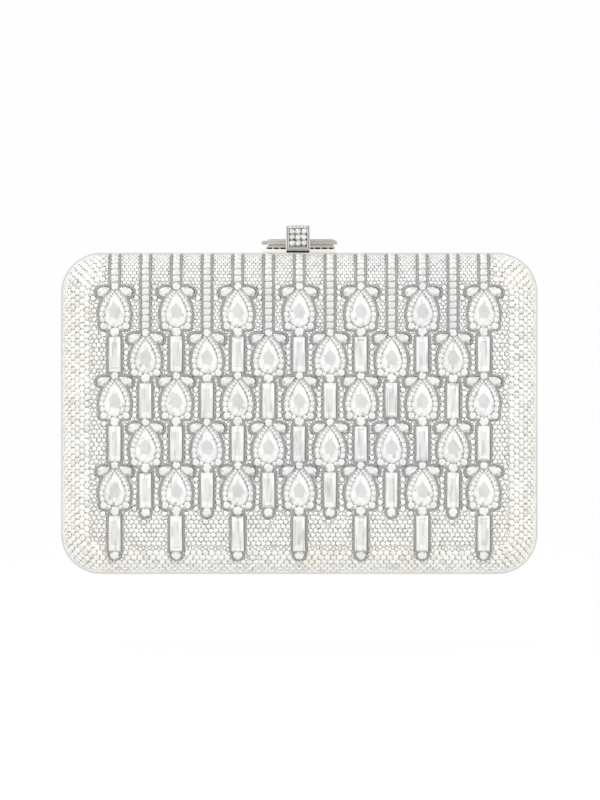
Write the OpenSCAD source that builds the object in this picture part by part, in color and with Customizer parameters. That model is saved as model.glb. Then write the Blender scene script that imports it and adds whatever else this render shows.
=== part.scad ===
/* [Body] */
// Width of the closed clutch over its crystals
body_w = 178; // [160:1:220]
// Height of the closed clutch without the lock on top
body_h = 120; // [112:1:160]
// Depth between the field crystals of the front and the back
body_d = 37; // [36:0.5:50]
// Radius of the four corners, seen from the front
corner_r = 15; // [14:0.5:24]
// Radius of the rounded edge between the faces and the side walls
edge_r = 11; // [9:0.5:11.5]
// Gap between the two frames when the clutch is shut
seam_gap = 0.3; // [0.2:0.05:0.6]

/* [Walls] */
// Thickness of the layer of set crystals
pave_t = 1.6; // [1.2:0.1:2.2]
// Courses of crystals round the rounded edge of each half
edge_courses = 3; // [2:1:4]
// Depth of the groove between two courses
course_depth = 0.8; // [0.4:0.1:1]
// Width of the groove between two courses
course_gap = 1.2; // [0.8:0.1:1.6]
// Thickness of the metal shell under the crystals
shell_t = 1.2; // [0.8:0.1:1.6]
// Thickness of the leather lining
lining_t = 1; // [0.6:0.1:1.4]
// Width of the frame rim, measured inwards
frame_w = 4; // [3.6:0.1:6]
// Depth of the frame rim, measured away from the seam
frame_t = 3.4; // [3:0.1:5]

/* [Hinge] */
// Length of the hinge over all its knuckles
hinge_l = 60; // [40:1:100]
// Number of knuckles, shared in turn by the two leaves
knuckles = 7; // [5:2:9]
// Outer radius of a knuckle
knuckle_r = 1.5; // [1.3:0.05:1.6]
// Radius of the hinge pin
pin_r = 0.6; // [0.5:0.05:0.8]
// Radius of the pin's flattened heads
pin_head_r = 1.1; // [0.9:0.05:1.2]
// Thickness of the pin's flattened heads
pin_head_t = 0.4; // [0.3:0.05:0.6]
// Thickness of a leaf
leaf_plate_t = 0.8; // [0.6:0.05:1]
// Rivets in each leaf
leaf_rivets = 4; // [2:1:6]
// Radius of a rivet's shank
rivet_r = 0.9; // [0.6:0.05:1.1]
// Radius of a rivet's head
rivet_head_r = 1.6; // [1.4:0.05:2]
// Thickness of a rivet's head
rivet_head_t = 0.5; // [0.4:0.05:0.8]
// Angle through which the front half opens
open_angle = 95; // [80:1:100]

/* [Slide rail] */
// Length of the rail
rail_l = 28.2; // [26:0.2:36]
// Depth of the rail's foot
rail_foot_d = 5; // [4.6:0.1:5.2]
// Height of the rail's foot
rail_foot_h = 1.4; // [1.2:0.1:1.6]
// Depth of the rail's neck
rail_neck_d = 2; // [1.6:0.1:2.2]
// Height of the rail's neck
rail_neck_h = 1.8; // [1.6:0.1:2.2]
// Depth of the rail's head
rail_head_d = 4; // [3.6:0.1:4.2]
// Height of the rail's head
rail_head_h = 2; // [1.8:0.1:2.4]
// Slant at the right end of the rail's head
rail_bevel = 1.4; // [0.8:0.1:1.6]
// Width of the end stop at the left of the rail
stop_w = 1.6; // [1.2:0.1:2]
// Radius of the two screws that hold the rail from inside
screw_r = 0.7; // [0.5:0.05:0.8]
// Radius of the heads of those screws
screw_head_r = 1.4; // [1:0.05:1.5]
// Thickness of the heads of those screws
screw_head_t = 0.6; // [0.4:0.05:0.8]

/* [Slider] */
// Width of the sliding block
block_w = 8.9; // [8:0.1:10]
// Depth of the sliding block
block_d = 9; // [8.6:0.1:10]
// Height of the sliding block
block_h = 9.4; // [9.2:0.1:11]
// Gap between the sliding block and the front half's top
block_gap = 0.8; // [0.7:0.05:1]
// Clearance between the block and the rail on each side
slide_clear = 0.15; // [0.1:0.05:0.2]
// Sideways place of the block when the clutch is locked
block_rest = -0.5; // [-1:0.1:1]
// Thickness of the wall behind the rail's head
block_wall = 0.8; // [0.6:0.05:1]
// Pitch of the crystals on the block
block_pitch = 2.25; // [2:0.05:2.4]
// Diameter of the crystals on the block
block_stone = 2.1; // [1.8:0.05:2.2]
// Depth of the pockets that hold the crystals
block_pocket = 0.8; // [0.6:0.05:1]
// Rise of the crystals over the block's faces
block_rise = 0.2; // [0.1:0.05:0.4]

/* [Catch] */
// Width of the low strike on the front frame
strike_w = 4; // [3:0.1:5]
// Depth of the strike
strike_d = 1; // [0.8:0.05:1.2]
// Height of the strike
strike_h = 0.6; // [0.5:0.05:0.65]
// Radius of the strike's rivets
strike_rivet_r = 0.25; // [0.2:0.05:0.3]
// Thickness of the sprung strips
spring_t = 0.25; // [0.2:0.05:0.35]
// Radius of the detent bump on the slider's spring
bump_r = 0.4; // [0.3:0.05:0.5]

/* [Pattern] */
// Pitch of the long columns across the face
col_pitch = 22.87; // [22.4:0.01:26]
// Pitch of the pendants down a column
row_pitch = 33.3; // [33.2:0.1:38]
// Distance from the top edge to the first apex of a long column
long_drop = 14.7; // [14:0.1:16]
// Distance from the top edge to the first apex of a short column
short_drop = 32; // [30:0.1:34]
// Length of a pear stone
pear_l = 13; // [12.6:0.1:13]
// Width of a pear stone
pear_w = 7.8; // [7:0.1:8]
// Height of a pear stone over the field
pear_h = 1.3; // [0.8:0.1:2]
// Distance from an apex to the centre of the link stone
link_drop = 14.9; // [14.8:0.05:15]
// Diameter of a link stone
link_stone = 3.4; // [3:0.1:3.5]
// Distance from an apex to the top of the baguette
bag_drop = 16.7; // [16.7:0.05:16.8]
// Length of a baguette stone
bag_l = 12.8; // [12:0.1:12.9]
// Width of a baguette stone
bag_w = 4.7; // [4:0.1:5]
// Height of a baguette stone over the field
bag_h = 1.1; // [0.8:0.1:1.6]
// Height of the round stone's centre over an apex
apex_rise = 2; // [1.9:0.05:2.1]
// Diameter of the round stone over an apex
apex_stone = 2.8; // [2.4:0.1:2.8]
// Distance from the last apex to the centre of the end stone
end_drop = 31.45; // [31.4:0.05:31.6]
// Diameter of the end stone
end_stone = 3.5; // [3:0.1:3.6]
// Length of a leaf stone
leaf_l = 5.8; // [5.4:0.1:5.9]
// Width of a leaf stone
leaf_w = 3.4; // [3:0.1:3.5]
// Downward slope of a leaf stone
leaf_slope = 29; // [25:1:32]
// Sideways place of a leaf stone's tip
leaf_tip_x = 1.35; // [1.3:0.05:1.5]
// Height of a leaf stone's tip over the apex
leaf_tip_z = 1.5; // [1.4:0.05:1.6]
// Pitch of the single file of stones in a stem
stem_pitch = 2.75; // [2.7:0.05:3]
// Diameter of a stem stone
stem_stone = 2.6; // [2.2:0.1:2.65]
// Height of the small stones over the field
small_h = 0.8; // [0.5:0.1:1.2]
// Width of the metal outline ribbon
band_w = 1; // [0.8:0.05:1.2]
// Height of the outline ribbon over the field
band_h = 0.6; // [0.4:0.05:0.9]

/* [Hidden] */
$fn = 96;

// One overrun for every cut
over = 2;
// Running clearance of the hinge pin and of every rivet
fit = 0.05;
// Side gap between neighbouring knuckles
knuckle_gap = 0.15;
// Clearance round a knuckle in the frames
knuckle_room = 0.35;
// Clearance round a leaf in the frames and the lining
leaf_room = 0.3;
// Flat floor that the hinge leaves need behind the frames
hinge_land = 3.9;
// Extra slant of the frames' lower edges over half the opening angle
relief_spare = 1.5;
// Gap between the outline ribbon and the stones that it hugs
hug = 0.15;
// Room for the halo of small stones round a pear
halo_room = 2.35;
// Gap that is left where the ribbons of two columns meet
ribbon_gap = 0.05;
// Margins that the pattern keeps from the sides and from the bottom
side_keep = 20;
bottom_keep = 4;
// Half the gap between the two sprung strips and what they press on
touch = 0.05;

half_d = body_d / 2;
seam = seam_gap / 2;
skin_back = seam + frame_t;
// The rounded edge leaves a flat floor behind the frame for the hinge leaves
round_r = min(edge_r, half_d - skin_back - hinge_land);
wall_flat = half_d - round_r;
top_flat = body_h - round_r;
shell_in = pave_t + shell_t;
lining_in = shell_in + lining_t;

// The axis lies one clearance above the standing face, so the barrel stays inside the height
hinge_z = knuckle_r + knuckle_gap;
knuckle_l = hinge_l / knuckles;
pocket_y = knuckle_r + knuckle_room;
leaf_top = shell_in + leaf_plate_t;
// The leaf ends where the floor of the shell begins to round up
leaf_reach = wall_flat - knuckle_gap;
rivet_y = (skin_back + leaf_reach) / 2;
rivet_step = hinge_l / leaf_rivets;

rail_y0 = seam + touch + seam / 2;
rail_y = rail_y0 + rail_foot_d / 2;
neck_z = body_h + rail_foot_h;
head_z = neck_z + rail_neck_h;
head_top = head_z + rail_head_h;
screw_y = seam + frame_t / 2;
screw_x = rail_l * 0.39;

block_y1 = rail_y + rail_head_d / 2 + slide_clear + block_wall;
block_y0 = block_y1 - block_d;
block_z = body_h + block_gap;
block_top = block_z + block_h;
cavity_h = head_top + slide_clear;
spring_rise = 1.2;
spring_half = block_w * 0.33;
spring_d = rail_head_d * 0.6;
spring_room = touch * 2;

strike_y = -(seam + frame_t * 0.4);
nose_y1 = strike_y - strike_d / 2 - 2 * touch;
nose_d = 0.5;
nose_z = body_h + 3 * touch;
strip_top = block_z + block_h * 0.6;
strip_w = strike_w * 0.9;
strip_y0 = nose_y1 - spring_t;
cavity_y0 = strip_y0 - nose_d - spring_room;
cavity_y1 = nose_y1 + spring_room;

long_cols = floor((body_w - 2 * side_keep) / col_pitch) + 1;
short_cols = long_cols - 1;
long_first = body_h - long_drop;
short_first = body_h - short_drop;
unit_l = end_drop + end_stone / 2;
long_rows = floor((long_first - unit_l - bottom_keep) / row_pitch) + 1;
short_rows = floor((short_first - unit_l - bottom_keep) / row_pitch) + 1;

// Places and diameters of one side's halo stones, as shares of the pear's length
halo_x_shares = [0.066, 0.125, 0.196, 0.285, 0.348, 0.392, 0.396, 0.356, 0.222];
halo_z_shares = [0.02, -0.058, -0.154, -0.25, -0.372, -0.53, -0.7, -0.862, -1.005];
halo_d_shares = [0.078, 0.1, 0.112, 0.12, 0.12, 0.125, 0.13, 0.14, 0.14];
// Share of its base that a stone keeps at its flat top
table_share = 0.6;
// Widest value of sin(a) * sin(a / 2), which gives the pear outline its true width
pear_peak_share = sqrt(8 / 9) * sqrt(2 / 3);

// Outline of a pear stone about its middle, with the tip up
function pear_points(l, w, n) = [for (i = [0:n - 1]) let (a = 360 * i / n)
    [w / 2 / pear_peak_share * sin(a) * sin(a / 2), l / 2 * cos(a)]];

// Sideways places of the columns, centred on the clutch
function columns(n) = [for (i = [0:n - 1]) (i - (n - 1) / 2) * col_pitch];

// Right half of the section through a half shell: a wall that rounds into its flat face
module half_section(reach, from, to, r) {
    translate([0, from]) square([reach, to - r - from]);
    translate([0, from]) square([reach - r, to - from]);
    intersection() {
        translate([reach - r, to - r]) circle(r);
        translate([reach - r, to - r]) square(r);
    }
}

module full_section(reach, from, to, r) {
    half_section(reach, from, to, r);
    mirror([1, 0]) half_section(reach, from, to, r);
}

// Solid of the rear half whose skin lies a given inset below the crystals
module half_block(inset, from) {
    x = body_w / 2 - inset;
    z = body_h / 2 - inset;
    corner = corner_r - inset;
    edge = round_r - inset;
    to = half_d - inset;
    translate([0, 0, body_h / 2]) {
        linear_extrude(height = 2 * (z - corner), center = true) full_section(x, from, to, edge);
        rotate([0, -90, 0])
            linear_extrude(height = 2 * (x - corner), center = true) full_section(z, from, to, edge);
        for (mx = [0, 1], mz = [0, 1])
            mirror([mx, 0, 0]) mirror([0, 0, mz]) translate([x - corner, 0, corner - z])
                rotate([-90, 0, 0]) rotate_extrude(angle = 90) half_section(corner, from, to, edge);
    }
}

// Layer of a half between two insets
module half_layer(outer, inner) {
    difference() {
        half_block(outer, skin_back);
        half_block(inner, skin_back - over);
    }
}

// Rounded outline of the clutch, seen from the front, drawn in by an inset
module outline(inset) {
    x = body_w / 2 - inset;
    z = body_h / 2 - inset;
    r = corner_r - inset;
    square([2 * x, 2 * (z - r)], center = true);
    square([2 * (x - r), 2 * z], center = true);
    for (sx = [-1, 1], sz = [-1, 1]) translate([sx * (x - r), sz * (z - r)]) circle(r);
}

module at_front() mirror([0, 1, 0]) children();

// Bores for the rivets of one leaf
module leaf_rivet_places() {
    for (i = [0:leaf_rivets - 1])
        translate([(i - (leaf_rivets - 1) / 2) * rivet_step, rivet_y, 0]) children();
}

module leaf_rivet_bores() {
    leaf_rivet_places() translate([0, 0, pave_t - over])
        cylinder(r = rivet_r + fit, h = leaf_top + over);
}

// Sheet metal pan of the rear half, bored for the hinge rivets
module half_shell() {
    difference() {
        half_layer(pave_t, shell_in);
        leaf_rivet_bores();
    }
}

// Rim of one half, slanted below the hinge axis and pocketed for the barrel and the leaf
module half_frame() {
    pocket_x = hinge_l / 2 + pin_head_t + knuckle_room;
    slant = tan(open_angle / 2 + relief_spare);
    difference() {
        translate([0, 0, body_h / 2]) rotate([-90, 0, 0]) translate([0, 0, seam])
            linear_extrude(height = frame_t) difference() {
                outline(0);
                outline(frame_w);
            }
        rotate([90, 0, 90]) linear_extrude(height = body_w + 2 * over, center = true)
            polygon([[-over, hinge_z], [0, hinge_z], [slant * (hinge_z + over), -over], [-over, -over]]);
        translate([-pocket_x, -over, -over]) cube([2 * pocket_x, pocket_y + over, frame_w + 2 * over]);
        translate([-hinge_l / 2 - leaf_room, -over, shell_in])
            cube([hinge_l + 2 * leaf_room, frame_t + 2 * over, frame_w + over]);
    }
}

// Notches between the courses, in the section of a rounded edge with a given reach
module course_notches(reach) {
    for (i = [1:edge_courses])
        translate([reach - round_r, wall_flat]) rotate(90 * i / edge_courses) translate([round_r, 0])
            polygon([[course_depth, 0], [0, course_gap / 2], [-course_depth, 0], [0, -course_gap / 2]]);
}

// Grooves between the courses, all round one half
module course_grooves() {
    x = body_w / 2;
    z = body_h / 2;
    translate([0, 0, z]) {
        for (m = [0, 1]) mirror([m, 0, 0])
            linear_extrude(height = 2 * (z - corner_r), center = true) course_notches(x);
        for (m = [0, 1]) mirror([0, 0, m]) rotate([0, -90, 0])
            linear_extrude(height = 2 * (x - corner_r), center = true) course_notches(z);
        for (mx = [0, 1], mz = [0, 1])
            mirror([mx, 0, 0]) mirror([0, 0, mz]) translate([x - corner_r, 0, corner_r - z])
                rotate([-90, 0, 0]) rotate_extrude(angle = 90) course_notches(corner_r);
    }
}

// Layer of set crystals over one half, in courses round its rounded edge
module half_pave() {
    difference() {
        half_layer(0, pave_t);
        course_grooves();
    }
}

// Leather lining of one half, cut out round the hinge leaf
module half_lining() {
    difference() {
        half_layer(shell_in, lining_in);
        translate([-hinge_l / 2 - leaf_room, skin_back - over, 0])
            cube([hinge_l + 2 * leaf_room, leaf_reach + leaf_room - skin_back + over, lining_in + over]);
    }
}

// Leaf of the hinge with every second knuckle, from the first one given
module hinge_leaf(first) {
    difference() {
        union() {
            translate([-hinge_l / 2, pocket_y, shell_in])
                cube([hinge_l, leaf_reach - pocket_y, leaf_plate_t]);
            for (k = [first:2:knuckles - 1])
                translate([-hinge_l / 2 + k * knuckle_l + knuckle_gap / 2, 0, 0]) {
                    translate([0, 0, hinge_z]) rotate([0, 90, 0])
                        cylinder(r = knuckle_r, h = knuckle_l - knuckle_gap);
                    translate([0, seam, hinge_z])
                        cube([knuckle_l - knuckle_gap, pocket_y - seam, leaf_top - hinge_z]);
                }
        }
        translate([-hinge_l / 2 - over, 0, hinge_z]) rotate([0, 90, 0])
            cylinder(r = pin_r + fit, h = hinge_l + 2 * over);
        leaf_rivet_bores();
    }
}

// Rivets from the leaf's top to the outside of the shell
module leaf_rivet_set() {
    leaf_rivet_places() translate([0, 0, pave_t]) {
        cylinder(r = rivet_r, h = leaf_top - pave_t);
        translate([0, 0, leaf_top - pave_t]) cylinder(r = rivet_head_r, h = rivet_head_t);
    }
}

module rear_shell() {
    color("goldenrod") half_shell();
}

module front_shell() {
    color("goldenrod") at_front() half_shell();
}

module rear_frame() {
    color("silver") difference() {
        half_frame();
        for (s = [-1, 1]) translate([s * screw_x, screw_y, body_h - frame_w - over])
            cylinder(r = screw_r + fit, h = frame_w + 2 * over);
    }
}

module front_frame() {
    color("silver") difference() {
        at_front() half_frame();
        strike_rivet_places() translate([0, 0, body_h - frame_w / 2])
            cylinder(r = strike_rivet_r + fit, h = frame_w);
    }
}

module rear_pave() {
    color("whitesmoke") half_pave();
}

module front_pave() {
    color("whitesmoke") at_front() half_pave();
}

module rear_lining() {
    color("tan") half_lining();
}

module front_lining() {
    color("tan") at_front() half_lining();
}

module hinge_rear_leaf() {
    color("silver") hinge_leaf(0);
}

module hinge_front_leaf() {
    color("silver") at_front() hinge_leaf(1);
}

// Pin through every knuckle, spread at both ends
module hinge_pin() {
    color("gainsboro") {
        translate([-hinge_l / 2, 0, hinge_z]) rotate([0, 90, 0]) cylinder(r = pin_r, h = hinge_l);
        for (s = [0, 1]) mirror([s, 0, 0]) translate([hinge_l / 2, 0, hinge_z]) rotate([0, 90, 0])
            cylinder(r = pin_head_r, h = pin_head_t);
    }
}

module hinge_rear_rivets() {
    color("gainsboro") leaf_rivet_set();
}

module hinge_front_rivets() {
    color("gainsboro") at_front() leaf_rivet_set();
}

// Foot of the rail, flat on the rear half's top, tapped for the screws
module rail_foot() {
    color("ivory") difference() {
        translate([-rail_l / 2, rail_y0, body_h]) cube([rail_l, rail_foot_d, rail_foot_h]);
        for (s = [-1, 1]) translate([s * screw_x, screw_y, body_h - over])
            cylinder(r = screw_r + fit, h = over + rail_foot_h / 2);
    }
}

// Section of the head along its length, with a slant at the right
module head_side() {
    left = -rail_l / 2 + stop_w;
    right = rail_l / 2;
    polygon([[left, head_z], [right, head_z], [right, head_top - rail_bevel / 2],
        [right - 2 * rail_bevel, head_top], [left, head_top]]);
}

// Neck and head that the block runs on, with the detent groove across the head
module slide_rail() {
    neck_side = 2 * stop_w;
    color("silver") difference() {
        union() {
            translate([0, rail_y + rail_neck_d / 2, 0]) rotate([90, 0, 0])
                linear_extrude(height = rail_neck_d)
                    polygon([[neck_side / 2 - rail_l / 2, neck_z], [rail_l / 2 - neck_side / 4, neck_z],
                        [rail_l / 2 - neck_side / 2, head_z], [neck_side - rail_l / 2, head_z]]);
            translate([0, rail_y + rail_head_d / 2, 0]) rotate([90, 0, 0])
                linear_extrude(height = rail_head_d) head_side();
        }
        translate([block_rest, rail_y + rail_head_d, head_top + touch]) rotate([90, 0, 0])
            cylinder(r = bump_r + 2 * touch, h = 2 * rail_head_d);
    }
}

// Stop at the left end of the rail, lower than the head
module rail_end_stop() {
    color("silver") translate([-rail_l / 2, rail_y - rail_head_d / 2, head_z])
        cube([stop_w, rail_head_d, rail_head_h * 0.7]);
}

// Screws from inside the rear half, through its frame, into the foot
module rail_screws() {
    color("gainsboro") for (s = [-1, 1]) translate([s * screw_x, screw_y, body_h - frame_w]) {
        cylinder(r = screw_r, h = frame_w + rail_foot_h / 2 - touch);
        translate([0, 0, -screw_head_t]) cylinder(r = screw_head_r, h = screw_head_t);
    }
}

module strike_rivet_places() {
    for (s = [-1, 1]) translate([block_rest + s * strike_w / 4, strike_y, 0]) children();
}

// Low strike on the front frame, under the block
module catch_strike() {
    color("silver") difference() {
        translate([block_rest - strike_w / 2, strike_y - strike_d / 2, body_h])
            cube([strike_w, strike_d, strike_h]);
        strike_rivet_places() translate([0, 0, body_h - over])
            cylinder(r = strike_rivet_r + fit, h = strike_h + 2 * over);
    }
}

module strike_rivets() {
    color("gainsboro") strike_rivet_places() translate([0, 0, body_h - frame_w / 2])
        cylinder(r = strike_rivet_r, h = frame_w / 2 + strike_h);
}

// Puts children on the front skin, their +Z outwards, at a height measured along the skin
module on_front(x, path) {
    if (path > top_flat)
        translate([x, -wall_flat, top_flat]) rotate([-(path - top_flat) / round_r * 180 / PI, 0, 0])
            translate([0, -round_r, 0]) rotate([90, 0, 0]) children();
    else if (path < round_r)
        translate([x, -wall_flat, round_r]) rotate([(round_r - path) / round_r * 180 / PI, 0, 0])
            translate([0, -round_r, 0]) rotate([90, 0, 0]) children();
    else
        translate([x, -half_d, path]) rotate([90, 0, 0]) children();
}

// Round stone that stands on the skin
module round_stone(d) {
    cylinder(r1 = d / 2, r2 = d / 2 * table_share, h = small_h);
}

// Pear stone whose tip lies at the origin, with the stone below it
module pear_stone(l, w, h, n) {
    translate([0, -l / 2, 0]) linear_extrude(height = h, scale = table_share)
        polygon(pear_points(l, w, n));
}

// Places every pendant of the face: children stand at its apex
module pendants() {
    for (x = columns(long_cols), r = [0:long_rows - 1]) on_front(x, long_first - r * row_pitch) children();
    for (x = columns(short_cols), r = [0:short_rows - 1])
        on_front(x, short_first - r * row_pitch) children();
}

module pear_stones() {
    color("white") pendants() pear_stone(pear_l, pear_w, pear_h, 16);
}

module baguette_stones() {
    color("lightgray") pendants() translate([0, -bag_drop - bag_l / 2, 0])
        linear_extrude(height = bag_h, scale = table_share) square([bag_w, bag_l], center = true);
}

// Two small pears that spread from each apex
module leaf_stones() {
    color("white") pendants() for (m = [0, 1]) mirror([m, 0, 0])
        translate([leaf_tip_x, leaf_tip_z, 0]) rotate(90 - leaf_slope)
            pear_stone(leaf_l, leaf_w, small_h, 10);
}

module link_stones() {
    color("white") pendants() translate([0, -link_drop, 0]) round_stone(link_stone);
}

module apex_stones() {
    color("white") pendants() translate([0, apex_rise, 0]) round_stone(apex_stone);
}

// Last stone of every column
module end_stones() {
    color("white") {
        for (x = columns(long_cols))
            on_front(x, long_first - (long_rows - 1) * row_pitch - end_drop) round_stone(end_stone);
        for (x = columns(short_cols))
            on_front(x, short_first - (short_rows - 1) * row_pitch - end_drop) round_stone(end_stone);
    }
}

// Halo stones of the given places in the tables
module halo_stones(first, last) {
    color("white") pendants() for (i = [first:last], s = [-1, 1])
        translate([s * halo_x_shares[i] * pear_l, halo_z_shares[i] * pear_l, 0])
            round_stone(halo_d_shares[i] * pear_l);
}

module upper_halo_stones() {
    halo_stones(0, 2);
}

module middle_halo_stones() {
    halo_stones(3, 5);
}

module lower_halo_stones() {
    halo_stones(6, 8);
}

// Single file of stones from the first apex over the top edge
module stem_file(x, first) {
    start = first + apex_rise + apex_stone / 2 + stem_stone / 2;
    end = top_flat + round_r * PI / 3;
    for (i = [0:floor((end - start) / stem_pitch)]) on_front(x, start + i * stem_pitch)
        round_stone(stem_stone);
}

module stem_stones() {
    color("white") {
        for (x = columns(long_cols)) stem_file(x, long_first);
        for (x = columns(short_cols)) stem_file(x, short_first);
    }
}

// What the ribbon of one pendant goes round, about its apex
module pendant_area() {
    offset(r = halo_room, $fn = 12) translate([0, -pear_l / 2]) polygon(pear_points(pear_l, pear_w, 16));
    for (m = [0, 1]) mirror([m, 0]) translate([leaf_tip_x, leaf_tip_z]) rotate(90 - leaf_slope)
        offset(r = hug, $fn = 8) translate([0, -leaf_l / 2]) polygon(pear_points(leaf_l, leaf_w, 12));
    translate([-bag_w / 2 - hug, -bag_drop - bag_l]) square([bag_w + 2 * hug, bag_l]);
    translate([-link_stone / 2 - hug, -bag_drop - hug])
        square([link_stone + 2 * hug, bag_drop - link_drop + link_stone / 2]);
}

// What the ribbon of one column goes round, up to the rounded top edge
module column_area(first, rows) {
    last = first - (rows - 1) * row_pitch;
    link_l = row_pitch - bag_drop - bag_l;
    for (r = [0:rows - 1]) translate([0, first - r * row_pitch]) pendant_area();
    for (r = [0:rows - 1]) translate([-stem_stone / 2 - hug, first - r * row_pitch - hug])
        square([stem_stone + 2 * hug, r == 0 ? top_flat - first + hug : link_l + 2 * hug]);
    translate([0, last - end_drop]) circle(end_stone / 2 + hug, $fn = 16);
}

// Ribbon of one column, standing on the skin as far as the rounded top edge. Where columns come
// close, the ribbon of a short one gives way to those of the long ones beside it
module column_ribbon(x, first, rows, gives_way = false) {
    difference() {
        translate([x, 0, 0]) rotate([90, 0, 0]) linear_extrude(height = half_d + band_h)
            difference() {
                offset(r = band_w, $fn = 12) column_area(first, rows);
                column_area(first, rows);
                translate([-col_pitch / 2, top_flat]) square([col_pitch, round_r]);
                if (gives_way) for (side = [-1, 1]) translate([side * col_pitch / 2, 0])
                    offset(r = band_w + ribbon_gap, $fn = 12) column_area(long_first, long_rows);
            }
        translate([x - col_pitch / 2, -half_d, round_r]) cube([col_pitch, half_d + over, body_h]);
        translate([x - col_pitch / 2, -wall_flat, round_r]) rotate([0, 90, 0])
            cylinder(r = round_r, h = col_pitch);
        translate([x - col_pitch / 2, -wall_flat, 0]) cube([col_pitch, half_d + over, round_r + over]);
    }
}

module long_outlines() {
    color("darkgray") for (x = columns(long_cols)) column_ribbon(x, long_first, long_rows);
}

module short_outlines() {
    color("darkgray") for (x = columns(short_cols)) column_ribbon(x, short_first, short_rows, true);
}

// Ribbons of the stems over the rounded top edge
module stem_outlines() {
    color("darkgray") for (x = concat(columns(long_cols), columns(short_cols)), s = [-1, 1])
        translate([x + s * (stem_stone / 2 + hug + band_w / 2), -wall_flat, top_flat])
            rotate([0, 90, 0]) rotate_extrude(angle = -60, start = -90)
                translate([round_r, -band_w / 2]) square([band_h, band_w]);
}

// Block that straddles the rail's head, open below for the foot, with pockets for its stones
module slider_block() {
    side = (block_w - 3 * block_pitch) / 2;
    foot_top = neck_z + slide_clear;
    spring_top = rail_head_h + slide_clear + spring_rise;
    strip_l = strip_top - block_z + spring_room;
    color("silver") translate([block_rest, 0, 0]) difference() {
        translate([-block_w / 2, block_y0, block_z]) cube([block_w, block_d, block_h]);
        translate([-block_w, rail_y0 - slide_clear, block_z - over])
            cube([2 * block_w, block_d, foot_top - block_z + over]);
        translate([-block_w, rail_y - rail_neck_d / 2 - slide_clear, block_z])
            cube([2 * block_w, rail_neck_d + 2 * slide_clear, head_z - block_z]);
        translate([-block_w, rail_y - rail_head_d / 2 - slide_clear, head_z - slide_clear])
            cube([2 * block_w, rail_head_d + 2 * slide_clear, rail_head_h + 2 * slide_clear]);
        translate([-spring_half - spring_room, rail_y - spring_d / 2 - spring_room, head_z])
            cube([2 * (spring_half + spring_room), spring_d + 2 * spring_room, spring_top]);
        translate([-strip_w / 2 - spring_room, cavity_y0, block_z - over])
            cube([strip_w + 2 * spring_room, cavity_y1 - cavity_y0, strip_l + over]);
        translate([0, cavity_y1 - touch, strip_top - 2 * bump_r]) rotate([-90, 0, 0])
            cylinder(r = bump_r + fit, h = 2 * bump_r);
        translate([-block_w / 2 + side, block_y0 - over, block_top - side - 3 * block_pitch])
            cube([3 * block_pitch, block_pocket + over, 3 * block_pitch]);
        translate([-block_w / 2 + side, block_y0 + side, block_top - block_pocket])
            cube([3 * block_pitch, 3 * block_pitch, block_pocket + over]);
    }
}

// Three rows of three stones about the origin
module stone_square() {
    for (i = [-1, 0, 1], j = [-1, 0, 1]) translate([i * block_pitch, j * block_pitch, 0])
        cylinder(r1 = block_stone / 2, r2 = block_stone / 2 * table_share, h = block_pocket + block_rise);
}

module slider_front_stones() {
    side = (block_w - 3 * block_pitch) / 2;
    color("white")
        translate([block_rest, block_y0 + block_pocket, block_top - side - 1.5 * block_pitch])
            rotate([90, 0, 0]) stone_square();
}

module slider_top_stones() {
    side = (block_w - 3 * block_pitch) / 2;
    color("white")
        translate([block_rest, block_y0 + side + 1.5 * block_pitch, block_top - block_pocket])
            stone_square();
}

// Upright sprung strip with a nose that hooks in front of the strike
module catch_spring() {
    color("lightgray") translate([block_rest, 0, 0]) difference() {
        union() {
            translate([-strip_w / 2, nose_y1 - spring_t, block_z])
                cube([strip_w, spring_t, strip_top - block_z]);
            translate([-strip_w / 2, nose_y1 - nose_d, nose_z])
                cube([strip_w, nose_d, block_z - nose_z + 2 * spring_t]);
        }
        translate([0, nose_y1 - 2 * spring_t, strip_top - 2 * bump_r]) rotate([-90, 0, 0])
            cylinder(r = bump_r / 2 + fit, h = 3 * spring_t);
    }
}

// Rivet that holds the upright strip in the block
module spring_rivet() {
    color("gainsboro") translate([block_rest, nose_y1 - spring_t, strip_top - 2 * bump_r])
        rotate([-90, 0, 0]) {
            cylinder(r = bump_r / 2, h = spring_t);
            translate([0, 0, spring_t]) cylinder(r = bump_r, h = spring_room + bump_r);
        }
}

// Bowed strip over the rail's head, with the bump that drops into the groove
module detent_spring() {
    sag = spring_rise - touch;
    bow_r = (spring_half * spring_half + sag * sag) / (2 * sag);
    low = cavity_h + touch / 2;
    color("lightgray") translate([block_rest, rail_y + spring_d / 2, 0]) rotate([90, 0, 0])
        linear_extrude(height = spring_d) {
            intersection() {
                translate([0, low + bow_r]) difference() {
                    circle(bow_r);
                    circle(bow_r - spring_t);
                }
                translate([-spring_half, low]) square([2 * spring_half, sag]);
            }
            translate([0, head_top + touch]) difference() {
                circle(bump_r);
                translate([-bump_r, bump_r / 2]) square([2 * bump_r, bump_r]);
            }
        }
}

rear_shell();
rear_frame();
rear_pave();
rear_lining();
hinge_rear_leaf();
hinge_pin();
hinge_rear_rivets();
rail_foot();
slide_rail();
rail_end_stop();
rail_screws();
front_shell();
front_frame();
front_pave();
front_lining();
hinge_front_leaf();
hinge_front_rivets();
catch_strike();
strike_rivets();
long_outlines();
short_outlines();
stem_outlines();
pear_stones();
baguette_stones();
leaf_stones();
link_stones();
apex_stones();
end_stones();
upper_halo_stones();
middle_halo_stones();
lower_halo_stones();
stem_stones();
slider_block();
slider_front_stones();
slider_top_stones();
catch_spring();
detent_spring();
spring_rivet();
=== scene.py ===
"""Crystal clutch, dressed: set crystals, metal ribbons, frames, hinge and sliding lock."""
import logging
import math
from contextlib import contextmanager
from dataclasses import dataclass, field
from enum import Enum
from typing import Callable, ClassVar, Iterator, Optional, Sequence

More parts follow.
